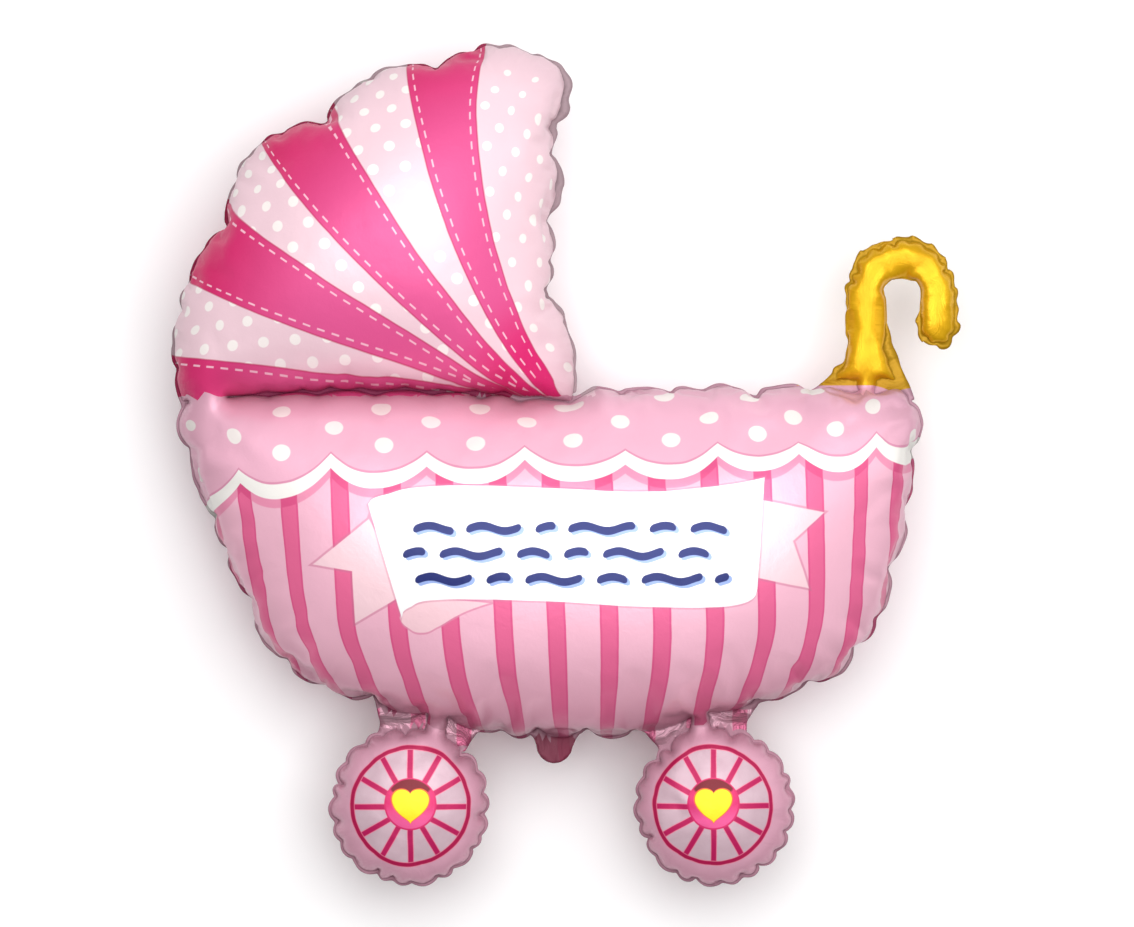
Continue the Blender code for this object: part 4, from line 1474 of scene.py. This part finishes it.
def wheel_print():
    x, y, spot = sheet_place()
    (left_x, left_y), (right_x, right_y) = (print_place(*place, "wheel") for place in WHEEL_PRINTS)
    side = calc("ABSOLUTE", x - (left_x + right_x) / 2) - (right_x - left_x) / 2
    up = y - (left_y + right_y) / 2
    reach = length_of(side, up)
    colour = painted((212, 158, 178), (206, 150, 170), ramp(reach, 60.0, 90.0))
    pane = painted((206, 180, 190), (188, 156, 168), noise(spot, 0.06, 2.0))
    colour = painted(colour, pane, step_down(reach, 61.0, 0.5))
    turn = calc("ARCTAN2", side, up)
    sector = repeat_gap(turn * (6 / math.pi), math.pi / 6)
    spoke = calc("SINE", sector) * reach
    near_hub = step_up(reach, 20.0, 0.5) * step_down(reach, 60.5, 0.5)
    colour = painted(colour, (224, 116, 146), step_down(spoke, 3.3, 0.5) * near_hub)
    colour = painted(colour, (178, 14, 84), step_down(spoke, 2.6, 0.4) * near_hub)
    ring = calc("ABSOLUTE", reach - 61.0)
    colour = painted(colour, (224, 116, 146), step_down(ring, 2.7, 0.5))
    colour = painted(colour, (168, 10, 72), step_down(ring, 2.0, 0.4))
    hub = length_of(side, up - 2.5)
    colour = painted(colour, (200, 30, 96), step_down(hub, 26.8, 0.4))
    hub_pink = painted((206, 36, 102), (226, 84, 144), ramp(up, 6.0, -16.0))
    colour = painted(colour, hub_pink, step_down(hub, 25.0, 0.6))
    # Painted reflection: a dark crescent over the top of the hub.
    shade = step_down(length_of(side / 21.0, (up - 21.0) / 11.0), 1.0, 0.08)
    colour = painted(colour, (112, 0, 26), shade * step_down(hub, 25.5, 0.6))
    # A heart: two round lobes over a point.
    across = calc("ABSOLUTE", side) / 20.0
    down = (up - 0.5) / 17.0
    lift = down - calc("SQRT", across & 1.0) * 0.62 + 0.18
    heart = across * across + lift * lift * 1.1
    colour = painted(colour, (226, 96, 40), step_down(heart, 0.98, 0.05))
    colour = painted(colour, (238, 212, 12), step_down(heart, 0.86, 0.05))
    return colour


def web_print():
    spot, x, _ = body_place()
    crease = noise(spot, 38.0, 4.0, 0.65, 1.5)
    off = repeat_gap((x - STRIPE_MIDDLE) / WEB_PITCH + (crease - 0.5) * 0.08, WEB_PITCH)
    stripe = step_down(off, 7.5, 0.8)
    colour = painted((228, 170, 190), (222, 108, 150), stripe)
    # Painted shade: the crinkled web is darker along its creases.
    return painted(colour, (176, 96, 122), step_up(crease, 0.60, 0.09) * 0.6)


def gold_print():
    """The handle's colour, and where it is gold: its foot's edge shows the band's pink."""
    spot, x, y = body_place()
    gold = painted((236, 184, 8), (218, 160, 5), noise(spot, 30.0, 3.0, 0.6))
    above = step_up(y - ramp(x, 300.0, 345.0, 16.5, 4.0), 0.0, 0.4)
    return painted(BAND_COLOUR, gold, above), above


# How each print's foil looks, with how dark the painted shade is at the weld and on the fin.
FOIL_LOOKS = {
    "hull": {"metal": 0.24, "coat": 0.16, "weld_shade": 0.64},
    "hood": {"metal": 0.14, "rough": 0.46, "coat": 0.07, "weld_shade": 0.82, "gather": 1.0, "fin_shade": 0.55},
    "wheel": {"metal": 0.22, "rough": 0.44, "coat": 0.08, "weld_shade": 0.9, "reach": 0.04},
    "handle": {"rough": 0.36, "crinkle": 0.22, "coat": 0.05, "weld_shade": 0.82, "reach": 0.02, "gather": 0.7},
    "web": {"metal": 0.55, "rough": 0.24, "crinkle": 0.7, "weld_shade": 0.9},
    "tail": {"metal": 0.2, "rough": 0.5, "crinkle": 0.5, "coat": 0.03, "weld_shade": 0.46},
}
for side in ("front", "back"):
    for kind in slots:
        material = new_material(f"{kind}_print_{side}")
        look = FOIL_LOOKS[kind]
        if kind == "hull":
            colour = hull_print(side == "front")
        elif kind == "hood":
            colour = hood_print()
        elif kind == "wheel":
            colour = wheel_print()
        elif kind == "handle":
            colour, share = gold_print()
            look = {**look, "metal": share * 0.15 + 0.3}
        elif kind == "tail":
            # Painted shade: the tail's print is darkened with a deep pink.
            colour = painted(hull_print(False), TAIL_SHADE_COLOUR, 0.6)
        else:
            colour = web_print()
        finish_foil(colour, **look)
        mesh.materials.append(material)

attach(skin, "root")
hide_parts("foil_envelope")

# The floor, the lights and the camera.
floor_mesh = bpy.data.meshes.new("studio_floor")
floor_mesh.from_pydata([(-6, -6, 0), (6, -6, 0), (6, 6, 0), (-6, 6, 0)], [], [(0, 1, 2, 3)])
floor = placed("studio_floor", floor_mesh)
material = new_material("studio_paper")
paper = TREE.nodes.new("ShaderNodeBsdfPrincipled")
spot = TREE.nodes.new("ShaderNodeTexCoord").outputs["Object"]
plug(paper.inputs["Base Color"], painted((250, 250, 250), (246, 246, 246), noise(spot, 3.0)))
plug(paper.inputs["Roughness"], 0.85 + noise(spot, 40.0) * 0.1)
show(paper)
floor_mesh.materials.append(material)


def area_light(name, place, target, size, power):
    light = bpy.data.lights.new(name, "AREA")
    light.shape = "RECTANGLE"
    light.size, light.size_y = size
    light.energy = power
    holder = placed(name, light)
    way = Vector(target) - Vector(place)
    holder.matrix_world = Matrix.Translation(place) @ way.to_track_quat("-Z", "Y").to_matrix().to_4x4()
    holder.visible_camera = False


area_light("soft_top", (0.25, 0.50, 3.4), (0.0, 0.0, 0.0), (3.4, 2.8), 116.0)
area_light("soft_side", (2.7, 0.9, 1.6), (0.0, 0.0, 0.1), (1.2, 1.6), 7.0)

world = bpy.data.worlds.new("studio")
bpy.context.scene.world = world
world.use_nodes = True
TREE = world.node_tree
background = next(n for n in TREE.nodes if n.type == "BACKGROUND")
direction = TREE.nodes.new("ShaderNodeTexCoord")
parts = TREE.nodes.new("ShaderNodeSeparateXYZ")
TREE.links.new(direction.outputs["Generated"], parts.inputs[0])
toward = Number(parts.outputs[2]) * 0.86 + Number(parts.outputs[1]) * 0.42 + Number(parts.outputs[0]) * 0.12
bright = ramp(toward, -0.3, 1.0, 0.14, 1.0)
plug(background.inputs["Color"], joined(bright, bright, bright))
background.inputs["Strength"].default_value = 0.62

camera = bpy.data.cameras.new("camera")
camera.sensor_width = 36.0
camera.lens = camera.sensor_width * CAMERA_HEIGHT / PICTURE_WIDTH
camera.clip_end = 50.0
viewer = placed("camera", camera)
viewer.location = (0.00225, 0.00225, WELD_HEIGHT + CAMERA_HEIGHT)
bpy.context.scene.camera = viewer
bpy.context.scene.view_settings.view_transform = "Standard"
